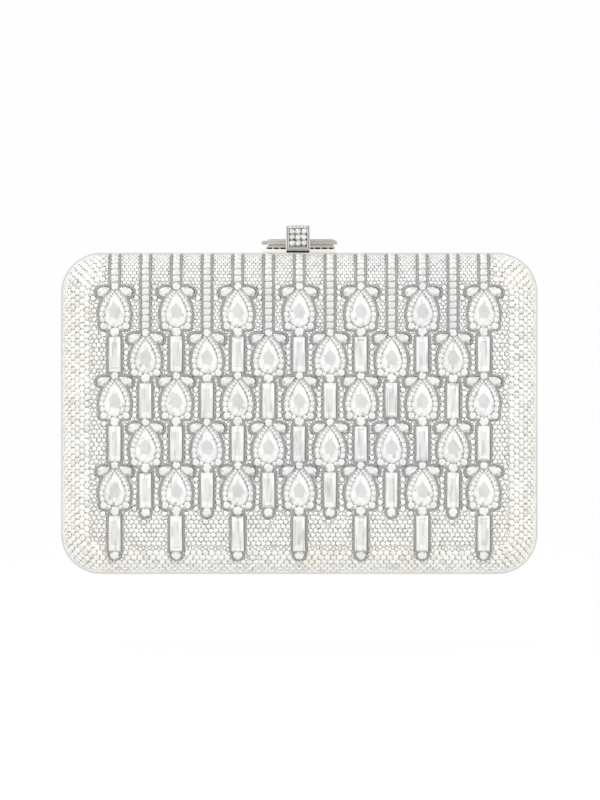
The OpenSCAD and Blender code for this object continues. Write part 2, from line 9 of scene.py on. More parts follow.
import bmesh
import bpy
import numpy as np
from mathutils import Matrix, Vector


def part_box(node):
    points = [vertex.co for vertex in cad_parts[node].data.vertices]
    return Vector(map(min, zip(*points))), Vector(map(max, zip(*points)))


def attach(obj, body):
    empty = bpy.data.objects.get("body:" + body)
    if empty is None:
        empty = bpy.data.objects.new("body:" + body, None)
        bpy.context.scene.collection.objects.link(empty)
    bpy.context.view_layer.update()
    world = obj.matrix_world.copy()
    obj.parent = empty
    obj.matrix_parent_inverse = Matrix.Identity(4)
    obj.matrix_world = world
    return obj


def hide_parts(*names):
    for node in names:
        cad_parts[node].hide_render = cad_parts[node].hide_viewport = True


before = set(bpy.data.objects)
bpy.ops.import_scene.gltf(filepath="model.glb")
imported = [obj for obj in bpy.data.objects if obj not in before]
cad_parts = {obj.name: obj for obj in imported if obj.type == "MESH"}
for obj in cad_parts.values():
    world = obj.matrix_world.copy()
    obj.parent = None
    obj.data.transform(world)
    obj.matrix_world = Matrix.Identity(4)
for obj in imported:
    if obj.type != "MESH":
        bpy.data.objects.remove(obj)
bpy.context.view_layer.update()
MM = 0.001
SHARP = 40.0
FLAT_FACE = math.radians(3)
FLAT_METAL = math.radians(2)
# way, on the front, in which the cups' walls get their painted shade, away from the light
UNLIT_WAY = np.array([0.8, 0.6])
UNDERCUT = 0.9
GIRDLE_AT = 0.3
STAR_AT = 0.75
BREAK_AT = 0.78
WHITE = (1.0, 1.0, 1.0)
LOG = logging.getLogger("clutch")


class Side(Enum):
    """Which half of the clutch a surface belongs to."""

    FRONT = -1.0
    REAR = 1.0


class Body(Enum):
    """Moving bodies of the clutch."""

    REAR = "rear_half"
    FRONT = "front_half"
    SLIDER = "slider"


# Shader maths

def rgb(red: float, green: float, blue: float) -> tuple:
    """A colour with full alpha."""
    return (red, green, blue, 1.0)


class Wire:
    """A node socket that can be used in Python sums."""

    def __init__(self, shop: "NodeShop", socket: bpy.types.NodeSocket) -> None:
        """Keeps the shop that makes nodes and the socket that carries the value."""
        self.shop = shop
        self.socket = socket

    def _math(self, operation: str, first: object, second: object = 0.0, clamp: bool = False) -> "Wire":
        """Adds one Math node.

        Args:
            operation: the Math node's operation.
            first: a Wire or a number.
            second: a Wire or a number.
            clamp: whether the result stays between 0 and 1.

        Returns:
            The result as a Wire.
        """
        made = self.shop.node("ShaderNodeMath", {"operation": operation, "use_clamp": clamp},
                              {0: first, 1: second})
        return made["Value"]

    def __add__(self, other: object) -> "Wire":
        """Sum."""
        return self._math("ADD", self, other)

    __radd__ = __add__

    def __sub__(self, other: object) -> "Wire":
        """Difference."""
        return self._math("SUBTRACT", self, other)

    def __rsub__(self, other: object) -> "Wire":
        """Difference from a number."""
        return self._math("SUBTRACT", other, self)

    def __mul__(self, other: object) -> "Wire":
        """Product."""
        return self._math("MULTIPLY", self, other)

    __rmul__ = __mul__

    def __pow__(self, other: object) -> "Wire":
        """Power."""
        return self._math("POWER", self, other)

    def clamped(self) -> "Wire":
        """The value held between 0 and 1."""
        return self._math("ADD", self, 0.0, clamp=True)


class Made:
    """A node whose outputs are read by name as Wires."""

    def __init__(self, shop: "NodeShop", node: bpy.types.Node) -> None:
        """Keeps the node."""
        self.shop = shop
        self.node = node

    def __getitem__(self, name: str) -> Wire:
        """The named output."""
        return Wire(self.shop, self.node.outputs[name])


class NodeShop:
    """Makes a material's nodes."""

    def __init__(self, name: str) -> None:
        """Starts an empty material of the given name."""
        self.material = bpy.data.materials.new(name)
        self.material.use_nodes = True
        self.tree = self.material.node_tree
        self.tree.nodes.clear()

    def node(self, kind: str, settings: Optional[dict] = None, sockets: Optional[dict] = None) -> Made:
        """Makes one node.

        Args:
            kind: the node's type.
            settings: attributes that are set first.
            sockets: values or Wires by input name or number.

        Returns:
            The node, wrapped.
        """
        node = self.tree.nodes.new(kind)
        for key, value in (settings or {}).items():
            setattr(node, key, value)
        for key, value in (sockets or {}).items():
            if isinstance(value, Wire):
                self.tree.links.new(value.socket, node.inputs[key])
            else:
                node.inputs[key].default_value = value
        return Made(self, node)

    def place(self) -> Wire:
        """Object coordinates."""
        return self.node("ShaderNodeTexCoord")["Object"]

    def facet_shade(self) -> Wire:
        """Painted reflection and shade that the mesh keeps for each facet, as a brightness."""
        return self.node("ShaderNodeAttribute", {"attribute_name": "facet_shade"})["Color"]

    def noise(self, scale: float, detail: float = 2.0, stretch: Optional[tuple] = None) -> Wire:
        """Noise over the object, as a number.

        Args:
            scale: how fine it is.
            detail: how many finer layers it has.
            stretch: scale of each axis, if they differ.

        Returns:
            The noise.
        """
        place = self.place()
        if stretch:
            place = self.node("ShaderNodeMapping", {}, {"Vector": place, "Scale": stretch})["Vector"]
        return self.node("ShaderNodeTexNoise", {}, {"Vector": place, "Scale": scale, "Detail": detail})["Fac"]

    def ramp(self, factor: Wire, stops: Sequence[tuple]) -> Wire:
        """Colour ramp from stops of a place and a colour each."""
        made = self.node("ShaderNodeValToRGB", {}, {"Fac": factor})
        elements = made.node.color_ramp.elements
        while len(elements) > 1:
            elements.remove(elements[-1])
        elements[0].position, elements[0].color = stops[0][0], rgb(*stops[0][1])
        for spot, colour in stops[1:]:
            elements.new(spot).color = rgb(*colour)
        return made["Color"]

    def blend(self, first: object, second: object, factor: object = 1.0, how: str = "MIX") -> Wire:
        """Blends two colours.

        Args:
            first: the colour below, a Wire or red, green and blue.
            second: the colour above.
            factor: share of the second.
            how: the Mix node's way of blending.

        Returns:
            The blended colour.
        """
        values = {0: factor, 6: first, 7: second}
        ready = {key: rgb(*value) if isinstance(value, tuple) else value for key, value in values.items()}
        made = self.node("ShaderNodeMix", {"data_type": "RGBA", "blend_type": how}, ready)
        return Wire(self, made.node.outputs[2])

    def tinted(self, first: object, second: object) -> Wire:
        """Product of two colours."""
        return self.blend(first, second, 1.0, "MULTIPLY")

    def bump(self, height: Wire, distance: float, strength: float = 1.0) -> Wire:
        """Normal bent by a height."""
        made = self.node("ShaderNodeBump", {}, {"Height": height, "Distance": distance, "Strength": strength})
        return made["Normal"]

    def surface(self, **sockets: object) -> bpy.types.Material:
        """Ends the material with a Principled surface.

        Args:
            **sockets: the surface's sockets, with _ for a space.

        Returns:
            The material.
        """
        named = {key.replace("_", " "): value for key, value in sockets.items()}
        shader = self.node("ShaderNodeBsdfPrincipled", {}, named)
        self.node("ShaderNodeOutputMaterial", {}, {"Surface": shader["BSDF"]})
        return self.material


@dataclass(frozen=True)
class CrystalFinish:
    """Foil-backed cut crystal, its facets told apart by the painted reflection and shade in the facet_shade
    attribute.
    """

    name: str
    tint: tuple = (0.97, 0.97, 0.95)
    warm: tuple = (1.0, 0.984, 0.94)
    cool: tuple = (0.965, 0.955, 0.985)
    roughness: float = 0.12
    metallic: float = 0.5
    streak: float = 0.0
    # stretch of the noise that draws the painted reflection streaks
    grain: tuple = (160.0, 160.0, 120.0)
    fall: float = 40.0
    rim_start: float = 2.4
    foot_start: float = 1.4
    rim_share: float = 0.26
    foot_share: float = 0.12

    def make(self) -> bpy.types.Material:
        """Builds the material."""
        shop = NodeShop(self.name)
        spot = shop.node("ShaderNodeSeparateXYZ", {}, {0: shop.place()})
        rim = (spot["X"] ** 2.0) ** 0.5 * self.fall - self.rim_start
        foot = self.foot_start - spot["Z"] * self.fall
        drift = rim.clamped() * self.rim_share + foot.clamped() * self.foot_share + shop.noise(32.0)
        shift = shop.ramp(drift, ((0.36, self.cool), (0.48, WHITE), (0.58, WHITE), (0.8, self.warm)))
        # painted reflection and shade: each facet's brightness from the facet_shade attribute
        colour = shop.tinted(shop.tinted(shop.facet_shade(), shift), self.tint)
        # painted reflection: grey streaks drawn with stretched noise
        if self.streak:
            low = 1.0 - self.streak
            line = shop.noise(1.0, 2.0, self.grain)
            colour = shop.tinted(colour, shop.ramp(line, ((0.38, (low, low, low + 0.02)), (0.5, WHITE))))
        haze = shop.noise(900.0, 1.0) * 0.1 + (self.roughness - 0.05)
        return shop.surface(Base_Color=colour, Roughness=haze, Metallic=self.metallic,
                            IOR=1.55, Coat_Weight=0.6, Coat_Roughness=0.03)


@dataclass(frozen=True)
class MetalFinish:
    """Plated metal with fine scratches and slight clouding, and, where facet_shaded, the painted shade held in
    the facet_shade attribute.
    """

    name: str
    colour: tuple
    roughness: float = 0.22
    metallic: float = 1.0
    scratch: float = 0.00001
    cloud: float = 0.12
    brushing: tuple = (300.0, 2600.0, 2600.0)
    facet_shaded: bool = False

    def make(self) -> bpy.types.Material:
        """Builds the material."""
        shop = NodeShop(self.name)
        cloud = shop.noise(60.0, 3.0)
        dark = tuple(c * (1.0 - self.cloud) for c in self.colour)
        colour = shop.blend(dark, self.colour, cloud)
        # painted shade: the colour is darkened by the facet_shade attribute
        if self.facet_shaded:
            colour = shop.tinted(colour, shop.facet_shade())
        fine = shop.noise(1.0, 2.0, self.brushing)
        rough = (fine * 0.1 + cloud * 0.08 + (self.roughness - 0.09)).clamped()
        return shop.surface(Base_Color=colour, Roughness=rough, Metallic=self.metallic,
                            Normal=shop.bump(fine, self.scratch, 0.5))


@dataclass(frozen=True)
class BedFinish:
    """Foil and cement between the stones."""

    name: str
    colour: tuple = (0.95, 0.94, 0.92)
    dark: tuple = (0.66, 0.65, 0.64)

    def make(self) -> bpy.types.Material:
        """Builds the material."""
        shop = NodeShop(self.name)
        grain = shop.noise(1400.0, 3.0)
        spots = shop.ramp(shop.noise(420.0) * 0.8 + grain * 0.2, ((0.36, self.dark), (0.5, self.colour)))
        return shop.surface(Base_Color=spots, Roughness=grain * 0.2 + 0.3, Metallic=0.55,
                            Normal=shop.bump(grain, 0.0001, 0.6))


@dataclass(frozen=True)
class LeatherFinish:
    """Fine pebbled lining leather."""

    name: str
    colour: tuple = (0.74, 0.69, 0.6)

    def make(self) -> bpy.types.Material:
        """Builds the material."""
        shop = NodeShop(self.name)
        pebble = shop.node("ShaderNodeTexVoronoi", {"feature": "DISTANCE_TO_EDGE"},
                           {"Vector": shop.place(), "Scale": 900.0})["Distance"]
        cloud = shop.noise(30.0, 4.0)
        fine = shop.noise(2500.0)
        dark = tuple(c * 0.82 for c in self.colour)
        colour = shop.blend(dark, self.colour, cloud * 0.7 + pebble * 0.4)
        height = pebble * 1.4 + fine * 0.3
        return shop.surface(Base_Color=colour, Roughness=cloud * 0.15 + 0.45,
                            Normal=shop.bump(height, 0.00012, 0.7))


@dataclass(frozen=True)
class StageFinish:
    """Matte backdrop or floor that the camera sees as white."""

    name: str
    colour: tuple = (0.93, 0.93, 0.93)
    seen_white: float = 0.92

    def make(self) -> bpy.types.Material:
        """Builds the material."""
        shop = NodeShop(self.name)
        mottled = shop.blend(tuple(c * 0.98 for c in self.colour), self.colour, shop.noise(20.0))
        plain = shop.node("ShaderNodeBsdfDiffuse", {}, {"Color": mottled})
        glow = shop.node("ShaderNodeEmission", {}, {"Color": rgb(1, 1, 1), "Strength": 1.0})
        path = shop.node("ShaderNodeLightPath")
        seen = (path["Is Camera Ray"] + path["Is Glossy Ray"] + path["Is Transmission Ray"]).clamped()
        mixed = shop.node("ShaderNodeMixShader", {}, {0: seen * self.seen_white, 1: plain["BSDF"],
                                                      2: glow["Emission"]})
        shop.node("ShaderNodeOutputMaterial", {}, {"Surface": mixed["Shader"]})
        return shop.material


# Mesh help

def alone(piece: Optional[bpy.types.Object] = None) -> None:
    """Leaves edit mode and selects nothing, or one piece alone."""
    if bpy.context.object and bpy.context.object.mode != "OBJECT":
        bpy.ops.object.mode_set(mode="OBJECT")
    bpy.ops.object.select_all(action="DESELECT")
    if piece:
        piece.select_set(True)
        bpy.context.view_layer.objects.active = piece


def linked(name: str, data: object) -> bpy.types.Object:
    """A new object of the scene with the given mesh, lamp or camera."""
    piece = bpy.data.objects.new(name, data)
    bpy.context.scene.collection.objects.link(piece)
    return piece


@contextmanager
def editing(piece: bpy.types.Object) -> Iterator[None]:
    """Edit mode on one piece, with everything selected at first."""
    alone(piece)
    bpy.ops.object.mode_set(mode="EDIT")
    bpy.ops.mesh.select_all(action="SELECT")
    yield
    bpy.ops.object.mode_set(mode="OBJECT")


def pick_edges(piece: bpy.types.Object, test: Callable) -> None:
    """Selects the edges whose two ends pass a test, in edit mode."""
    bpy.ops.mesh.select_mode(type="EDGE")
    bpy.ops.mesh.select_all(action="DESELECT")
    shape = bmesh.from_edit_mesh(piece.data)
    for edge in shape.edges:
        edge.select = test(edge.verts[0].co, edge.verts[1].co)
    bmesh.update_edit_mesh(piece.data)


def pick_faces(piece: bpy.types.Object, test: Callable) -> None:
    """Selects the faces that pass a test, in edit mode."""
    bpy.ops.mesh.select_mode(type="FACE")
    shape = bmesh.from_edit_mesh(piece.data)
    for each in shape.faces:
        each.select = test(each)
    bmesh.update_edit_mesh(piece.data)


def along_y(first: Vector, second: Vector) -> bool:
    """Whether the line between two points runs front to back."""
    return abs(first.x - second.x) < 1e-6 and abs(first.z - second.z) < 1e-6


def walled(piece: bpy.types.Object, thickness: float) -> bpy.types.Object:
    """Gives a bare surface an inner wall, in millimetres."""
    wall = piece.modifiers.new("wall", "SOLIDIFY")
    wall.thickness, wall.offset = thickness * MM, -1.0
    return finish_modifiers(piece)


def settle(piece: bpy.types.Object) -> bpy.types.Object:
    """Moves a piece's place into its mesh."""
    alone(piece)
    bpy.ops.object.transform_apply(location=True, rotation=True, scale=True)
    return piece


def finish_modifiers(piece: bpy.types.Object) -> bpy.types.Object:
    """Applies all modifiers of a piece."""
    alone(piece)
    for modifier in list(piece.modifiers):
        bpy.ops.object.modifier_apply(modifier=modifier.name)
    return piece


def smooth(piece: bpy.types.Object, degrees: float) -> bpy.types.Object:
    """Smooths faces that meet at less than an angle."""
    alone(piece)
    bpy.ops.object.shade_smooth_by_angle(angle=math.radians(degrees))
    return piece


def bevelled(piece: bpy.types.Object, width: float, segments: int = 2) -> bpy.types.Object:
    """Rounds the sharp edges of a piece.

    Args:
        piece: the piece.
        width: bevel width in millimetres.
        segments: steps of the bevel.

    Returns:
        The piece.
    """
    modifier = piece.modifiers.new("edges", "BEVEL")
    modifier.width = width * MM
    modifier.segments = segments
    modifier.limit_method = "ANGLE"
    modifier.angle_limit = math.radians(SHARP)
    return smooth(finish_modifiers(piece), SHARP)


def block(name: str, low: Sequence[float], high: Sequence[float]) -> bpy.types.Object:
    """A box between two corners in millimetres, for shaping further."""
    alone()
    centre = [(a + b) / 2 * MM for a, b in zip(low, high)]
    bpy.ops.mesh.primitive_cube_add(size=1.0, location=centre)
    piece = bpy.context.object
    piece.name = name
    piece.scale = [(b - a) * MM for a, b in zip(low, high)]
    return settle(piece)


def dress(piece: bpy.types.Object, material: bpy.types.Material, body: Body,
          replaced: Sequence[str] = ()) -> bpy.types.Object:
    """Gives a piece its material, its body and what it stands for."""
    piece.data.materials.clear()
    piece.data.materials.append(material)
    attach(piece, body.value)
    if replaced:
        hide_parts(*replaced)
    LOG.info("%s: %d faces", piece.name, len(piece.data.polygons))
    return piece


# The clutch's skin

def size_of(node: str) -> tuple:
    """Lowest and highest corners of a CAD node in millimetres."""
    low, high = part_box(node)
    return np.array(low) / MM, np.array(high) / MM


@dataclass
class Skin:
    """Surface on which the flat tops of one half's field stones lie, in millimetres."""

    side: Side
    half_w: float
    bottom: float
    top: float
    depth: float
    wall_start: float
    corner: float
    edge: float

    @staticmethod
    def of(side: Side, drop: float = 0.0, proud: float = 0.7, corner: float = 15.0,
           edge: float = 11.0) -> "Skin":
        """Reads the skin of one half off its layer of stones in the frame.

        Args:
            side: the half.
            drop: depth of the wanted surface under the stones' flat tops.
            proud: how far the polished frame stands proud of the stones all round.
            corner: radius of the four corners of the frame.
            edge: radius of the rounded edge.

        Returns:
            The skin.
        """
        low, high = size_of("rear_pave" if side is Side.REAR else "front_pave")
        deep = sorted((abs(low[1]), abs(high[1])))
        return Skin(side, high[0] - proud - drop, low[2] + proud + drop, high[2] - proud - drop,
                    deep[1] - drop, deep[0], corner - proud - drop, edge - drop)

    @property
    def wall(self) -> float:
        """Length of the straight wall between the frame and the rounded edge."""
        return self.depth - self.edge - self.wall_start

    @property
    def bend(self) -> float:
        """Length of the rounded edge's arc."""
        return self.edge * math.pi / 2

    @property
    def flat_top(self) -> float:
        """Height at which the flat face ends and the top edge begins."""
        return self.top - self.edge

    @property
    def flat_bottom(self) -> float:
        """Height at which the flat face ends and the bottom edge begins."""
        return self.bottom + self.edge

    def section(self, along: float) -> tuple:
        """Profile of wall, rounded edge and face.

        Args:
            along: distance from the frame over the wall towards the face's middle.

        Returns:
            The inset, the depth and the tilt from the wall's normal to the face's.
        """
        turn = min(max((along - self.wall) / self.edge, 0.0), math.pi / 2)
        flat = max(along - self.wall - self.bend, 0.0)
        inset = self.edge * (1 - math.cos(turn)) + flat
        deep = self.wall_start + min(along, self.wall) + self.edge * math.sin(turn)
        return inset, deep, turn

    def outline(self, inset: float, pitch: float, phase: float) -> np.ndarray:
        """Places along the rounded outline, in step on the straight sides.

        Args:
            inset: how far the outline is drawn in.
            pitch: distance between places.
            phase: 0 or 0.5, for every second row.

        Returns:
            Rows of x, z and the outward normal's x and z.
        """
        wide, tall = self.half_w - inset, (self.top - self.bottom) / 2 - inset
        r = max(self.corner - inset, 0.01)
        first, arc = wide - r, r * math.pi / 2
        total = first + arc + tall - r
        steps = (np.arange(400) + phase) * pitch
        ahead = steps[steps <= first]
        behind = total - steps[steps <= tall - r]
        start, end = ahead[-1], behind[-1]
        between = np.linspace(start, end, max(int(round((end - start) / pitch)), 1) + 1)[1:-1]
        run = np.concatenate([ahead, between, behind])
        angle = np.clip((run - first) / r, 0, math.pi / 2)
        x = np.minimum(run, first) + r * np.sin(angle)
        z = tall - r + r * np.cos(angle) - np.maximum(run - first - arc, 0)
        mid = (self.top + self.bottom) / 2
        quarters = [np.stack([x * sx, z * sz + mid, np.sin(angle) * sx, np.cos(angle) * sz], 1)
                    for sx in (1, -1) for sz in (1, -1)]
        rows = np.concatenate(quarters)
        _, keep = np.unique(np.round(rows[:, :2], 3) + 0.0, axis=0, return_index=True)
        return rows[np.sort(keep)]

    def face(self, x: np.ndarray, path: np.ndarray) -> tuple:
        """Places by the height measured along the skin, over the top and bottom edges.

        Args:
            x: sideways places.
            path: heights on the flat face, going on along the skin past both rounded edges.

        Returns:
            Places, outward normals and upward directions, one row each.
        """
        x, path = np.broadcast_arrays(np.asarray(x, float), np.asarray(path, float))
        over = np.maximum(path - self.flat_top, 0.0) - np.maximum(self.flat_bottom - path, 0.0)
        turn = np.clip(over / self.edge, -math.pi / 2, math.pi / 2)
        back = np.maximum(np.abs(over) - self.bend, 0.0)
        z = np.clip(path, self.flat_bottom, self.flat_top) + self.edge * np.sin(turn)
        y = self.depth - self.edge * (1 - np.cos(turn)) - back
        way = self.side.value
        zero = np.zeros_like(x)
        return (np.stack([x, way * y, z], -1), np.stack([zero, way * np.cos(turn), np.sin(turn)], -1),
                np.stack([zero, -way * np.sin(turn), np.cos(turn)], -1))


# Cut stones

@dataclass
class Shade:
    """Painted reflection and shade of a cut stone's facets: their brightness by tilt, with a seeded spread."""

    table: float = 0.84
    crown: float = 1.0
    spread: float = 0.16
    side: float = 0.55
    dark: float = 0.0
    seed: int = 3
    dimmed: float = 0.55
    table_from: float = 0.985
    side_below: float = 0.2

    def of(self, normals: np.ndarray) -> np.ndarray:
        """Painted brightness of each facet."""
        rng = np.random.default_rng(self.seed)
        value = self.crown - self.spread * rng.random(len(normals)) ** 2
        # painted dark reflection on a seeded share of the facets
        value[rng.random(len(normals)) < self.dark] *= self.dimmed
        # painted reflection: the flat table gets the table value, usually greyer than the crown
        value[normals[:, 2] > self.table_from] = self.table
        # painted shade: the steep sides are darker
        value[normals[:, 2] < self.side_below] = self.side
        return value


@dataclass
class Stone:
    """One cut stone about its own origin, its flat top up, as plain arrays."""

    points: np.ndarray
    faces: list
    shades: np.ndarray

    @staticmethod
    def cut(outline: np.ndarray, rings: Sequence[tuple], shade: Shade) -> "Stone":
        """Cuts a stone from its outline by drawing ring after ring of facets up from it.

        The facets are put in a fixed order, so that each run gives them the same shades.

        Args:
            outline: points of the underside.
            rings: for each ring its height and its points.
            shade: brightness of the facets.

        Returns:
            The stone.
        """
        alone()
        bpy.ops.mesh.primitive_circle_add(vertices=len(outline), radius=1.0, fill_type="NGON")
        piece = bpy.context.object
        base, now = rings[0][0], outline
        for vertex, point in zip(piece.data.vertices, outline):
            vertex.co = (point[0], point[1], base)
        with editing(piece):
            bpy.ops.mesh.select_mode(type="FACE")
            for height, ring in rings[1:]:
                bpy.ops.mesh.extrude_region_move()
                shape = bmesh.from_edit_mesh(piece.data)
                for vertex in [v for v in shape.verts if v.select]:
                    near = int(np.argmin(np.hypot(*(now - np.array(vertex.co[:2])).T)))
                    vertex.co = (ring[near][0], ring[near][1], height)
                bmesh.update_edit_mesh(piece.data)
                now = ring
            bpy.ops.mesh.select_all(action="SELECT")
            bpy.ops.mesh.normals_make_consistent(inside=False)
            bpy.ops.mesh.vert_connect_nonplanar(angle_limit=FLAT_FACE)
        points = np.array([v.co[:] for v in piece.data.vertices])
        order = sorted(range(len(points)), key=lambda v: tuple(np.round(points[v], 5)))
        places = {old: new for new, old in enumerate(order)}
        facets = []
        for polygon in piece.data.polygons:
            ring = [places[v] for v in polygon.vertices]
            first = ring.index(min(ring))
            facets.append((ring[first:] + ring[:first], polygon.normal[:]))
        facets.sort()
        bpy.data.objects.remove(piece)
        return Stone(points[order], [tuple(ring) for ring, _ in facets],
                     shade.of(np.array([normal for _, normal in facets])))

    @staticmethod
    def round(count: int, shade: Shade, table: float = 0.6, crown: float = 0.36,
              depth: float = 1.0) -> "Stone":
        """Round stone whose sides lie at radius 1, with a star of facets round its table.

        Args:
            count: sides of the girdle.
            shade: brightness of the facets.
            table: share of the radius that the table takes.
            crown: height of the table over the girdle.
            depth: height of the table over the underside.

        Returns:
            The stone, its table at height 0.
        """
        angle = 2 * math.pi * np.arange(count) / count
        girdle = np.stack([np.cos(angle), np.sin(angle)], 1) / math.cos(math.pi / count)
        turned = angle + math.pi / count
        inner = np.stack([np.cos(turned), np.sin(turned)], 1) * table
        foot = girdle * UNDERCUT
        return Stone.cut(foot, [(-depth, foot), (-crown, girdle), (0.0, inner)], shade)

    @staticmethod
    def star(outline: np.ndarray, table: np.ndarray, middle: np.ndarray, height: float, sunk: float,
             shade: Shade) -> "Stone":
        """Stone whose facets run from its outline to a table with few corners.

        Args:
            outline: points of the girdle.
            table: corners of the table.
            middle: point that the table's edges are sought from.
            height: height of the table over the field.
            sunk: depth of the underside under the field.
            shade: brightness of the facets.

        Returns:
            The stone.
        """
        inner = []
        for way in outline - middle:
            shares = []
            for start, end in zip(table - middle, np.roll(table, -1, axis=0) - middle):
                across = np.array([[way[0], start[0] - end[0]], [way[1], start[1] - end[1]]])
                if abs(np.linalg.det(across)) > 1e-9:
                    far, along = np.linalg.solve(across, start)
                    if far > 0 and -1e-6 <= along <= 1 + 1e-6:
                        shares.append(far)
            inner.append(middle + way * min(shares))
        inner = np.array(inner)
        between = (outline + np.roll(outline, -1, axis=0)) / 2
        rings = [(-sunk, outline), (height * GIRDLE_AT, outline),
                 (height * STAR_AT, inner + (between - inner) * 0.5), (height, inner)]
        return Stone.cut(outline, rings, shade)

    @staticmethod
    def shaped(outline: np.ndarray, height: float, sunk: float, shade: Shade, table: float = 0.5,
               centre: Optional[Sequence[float]] = None) -> "Stone":
        """Stone with two rings of facets that follow its outline.

        Args:
            outline: points of the girdle.
            height: height of the table over the field.
            sunk: depth of the underside under the field.
            shade: brightness of the facets.
            table: share of the outline that the table takes.
            centre: point that the rings draw in to.

        Returns:
            The stone.
        """
        middle = np.array(centre) if centre is not None else outline.mean(axis=0)
        staggered = (outline + np.roll(outline, -1, axis=0)) / 2
        share = (1 + table) / 2
        rings = [(-sunk, outline), (height * GIRDLE_AT, outline),
                 (height * BREAK_AT, middle + (staggered - middle) * (share + 0.04)),
                 (height, middle + (outline - middle) * table)]
        return Stone.cut(outline, rings, shade)


@dataclass
class Setting:
    """Places of stones of one cut, gathered row by row."""

    places: list = field(default_factory=list)
    normals: list = field(default_factory=list)
    ups: list = field(default_factory=list)
    sizes: list = field(default_factory=list)
    most: ClassVar[float] = 0.85
    warm_green: ClassVar[float] = 0.012
    warm_blue: ClassVar[float] = 0.035

    def add(self, places: np.ndarray, normals: np.ndarray, ups: np.ndarray, sizes: object) -> None:
        """Adds stones.

        Args:
            places: where their origins lie, in millimetres.
            normals: the way their tables face.
            ups: the way their own y axis points.
            sizes: their scale, one number or one each.
        """
        self.places.append(np.atleast_2d(places))
        self.normals.append(np.atleast_2d(normals))
        self.ups.append(np.atleast_2d(ups))
        self.sizes.append(np.broadcast_to(sizes, len(self.places[-1])))

    def build(self, name: str, stone: Stone, seed: int, spin: float = math.pi, tilt: float = 2.0,
              dull: float = 0.2, flash: float = 0.14, least: float = 0.4) -> bpy.types.Object:
        """Copies the stone to every place, in one mesh.

        Args:
            name: name of the piece.
            stone: the stone.
            seed: seed of the small irregularities.
            spin: greatest turn about the normal.
            tilt: spread of the tilt in degrees.
            dull: greatest loss of brightness of a whole stone.
            flash: share of the facets that get a painted dark reflection, as if they looked into the dark.
            least: brightness that the darkest of them keep.

        Returns:
            The piece, its facets' painted reflection and shade in the attribute facet_shade.
        """
        rng = np.random.default_rng(seed)
        places, sizes = np.concatenate(self.places), np.concatenate(self.sizes)
        axes = self._axes(rng, spin, tilt)
        local = sum(stone.points[None, :, k:k + 1] * axis[:, None] for k, axis in enumerate(axes))
        points = (places[:, None] + local * sizes[:, None, None]).reshape(-1, 3) * MM
        mesh = self._mesh(name, stone, points)
        self._paint(mesh, stone, rng, dull, flash, least)
        return linked(name, mesh)

    def _axes(self, rng: np.random.Generator, spin: float, tilt: float) -> tuple:
        """Each stone's own axes, a little tilted and turned.

        Args:
            rng: source of the small irregularities.
            spin: greatest turn about the normal.
            tilt: spread of the tilt in degrees.

        Returns:
            The x, y and z axes, one row each.
        """
        normals = np.concatenate(self.normals)
        normals = normals + rng.normal(0, math.radians(tilt), normals.shape)
        normals /= np.linalg.norm(normals, axis=1, keepdims=True)
        right = np.cross(np.concatenate(self.ups), normals)
        right /= np.linalg.norm(right, axis=1, keepdims=True)
        up = np.cross(normals, right)
        turn = rng.uniform(-spin, spin, len(normals))[:, None]
        return right * np.cos(turn) + up * np.sin(turn), up * np.cos(turn) - right * np.sin(turn), normals

    @staticmethod
    def _mesh(name: str, stone: Stone, points: np.ndarray) -> bpy.types.Mesh:
        """Mesh of the given points, each run of them joined as the stone's own are."""
        count = len(points) // len(stone.points)
        loops = np.array([v for face in stone.faces for v in face])
        lengths = np.tile([len(face) for face in stone.faces], count)
        shift = (np.arange(count) * len(stone.points))[:, None]
        mesh = bpy.data.meshes.new(name)
        mesh.vertices.add(len(points))
        mesh.vertices.foreach_set("co", points.astype(np.float32).ravel())
        mesh.loops.add(count * len(loops))
        mesh.loops.foreach_set("vertex_index", (loops[None] + shift).astype(np.int32).ravel())
        mesh.polygons.add(len(lengths))
        mesh.polygons.foreach_set("loop_start", (np.cumsum(lengths) - lengths).astype(np.int32))
        mesh.update(calc_edges=True)
        mesh.validate()
        return mesh

    def _paint(self, mesh: bpy.types.Mesh, stone: Stone, rng: np.random.Generator, dull: float,
               flash: float, least: float) -> None:
        """Writes the facets' painted reflection and shade to the attribute facet_shade.

        Args:
            mesh: the stones.
            stone: their cut.
            rng: source of the small irregularities.
            dull: greatest loss of brightness of a whole stone.
            flash: share of the facets that get a painted dark reflection, as if they looked into the dark.
            least: brightness that the darkest of them keep.
        """
        count = len(mesh.polygons) // len(stone.faces)
        heights = stone.points[:, 2]
        slanted = np.array([heights[list(face)].min() < heights.max() - 1e-6 for face in stone.faces])
        loss = 1 - dull * rng.random((count, 1)) ** 3
        # painted dark reflection on a random share of the slanted facets
        dark_reflection = (rng.random((count, len(stone.faces))) < flash) & slanted
        loss = loss * np.where(dark_reflection, rng.uniform(least, self.most, dark_reflection.shape), 1.0)
        grey = np.clip(stone.shades[None] * loss, 0, 1)
        warm = rng.random((count, 1)) ** 3
        colour = np.stack([grey, grey * (1 - self.warm_green * warm), grey * (1 - self.warm_blue * warm),
                           np.ones_like(grey)], -1).reshape(-1, 4)
        corners = np.tile([len(face) for face in stone.faces], count)
        facet_shade = mesh.color_attributes.new("facet_shade", "FLOAT_COLOR", "CORNER")
        facet_shade.data.foreach_set("color", np.repeat(colour, corners, axis=0).astype(np.float32).ravel())


# The front's pattern

def pear_outline(length: float, width: float, count: int) -> np.ndarray:
    """Pear outline with its tip at the origin and its body below.

    Args:
        length: length of the stone.
        width: width of the stone.
        count: number of points.

    Returns:
        The points, one row each.
    """
    peak = math.sqrt(8 / 9) * math.sqrt(2 / 3)
    a = 2 * math.pi * np.arange(count) / count
    return np.stack([width / 2 / peak * np.sin(a) * np.sin(a / 2), length / 2 * (np.cos(a) - 1)], axis=1)


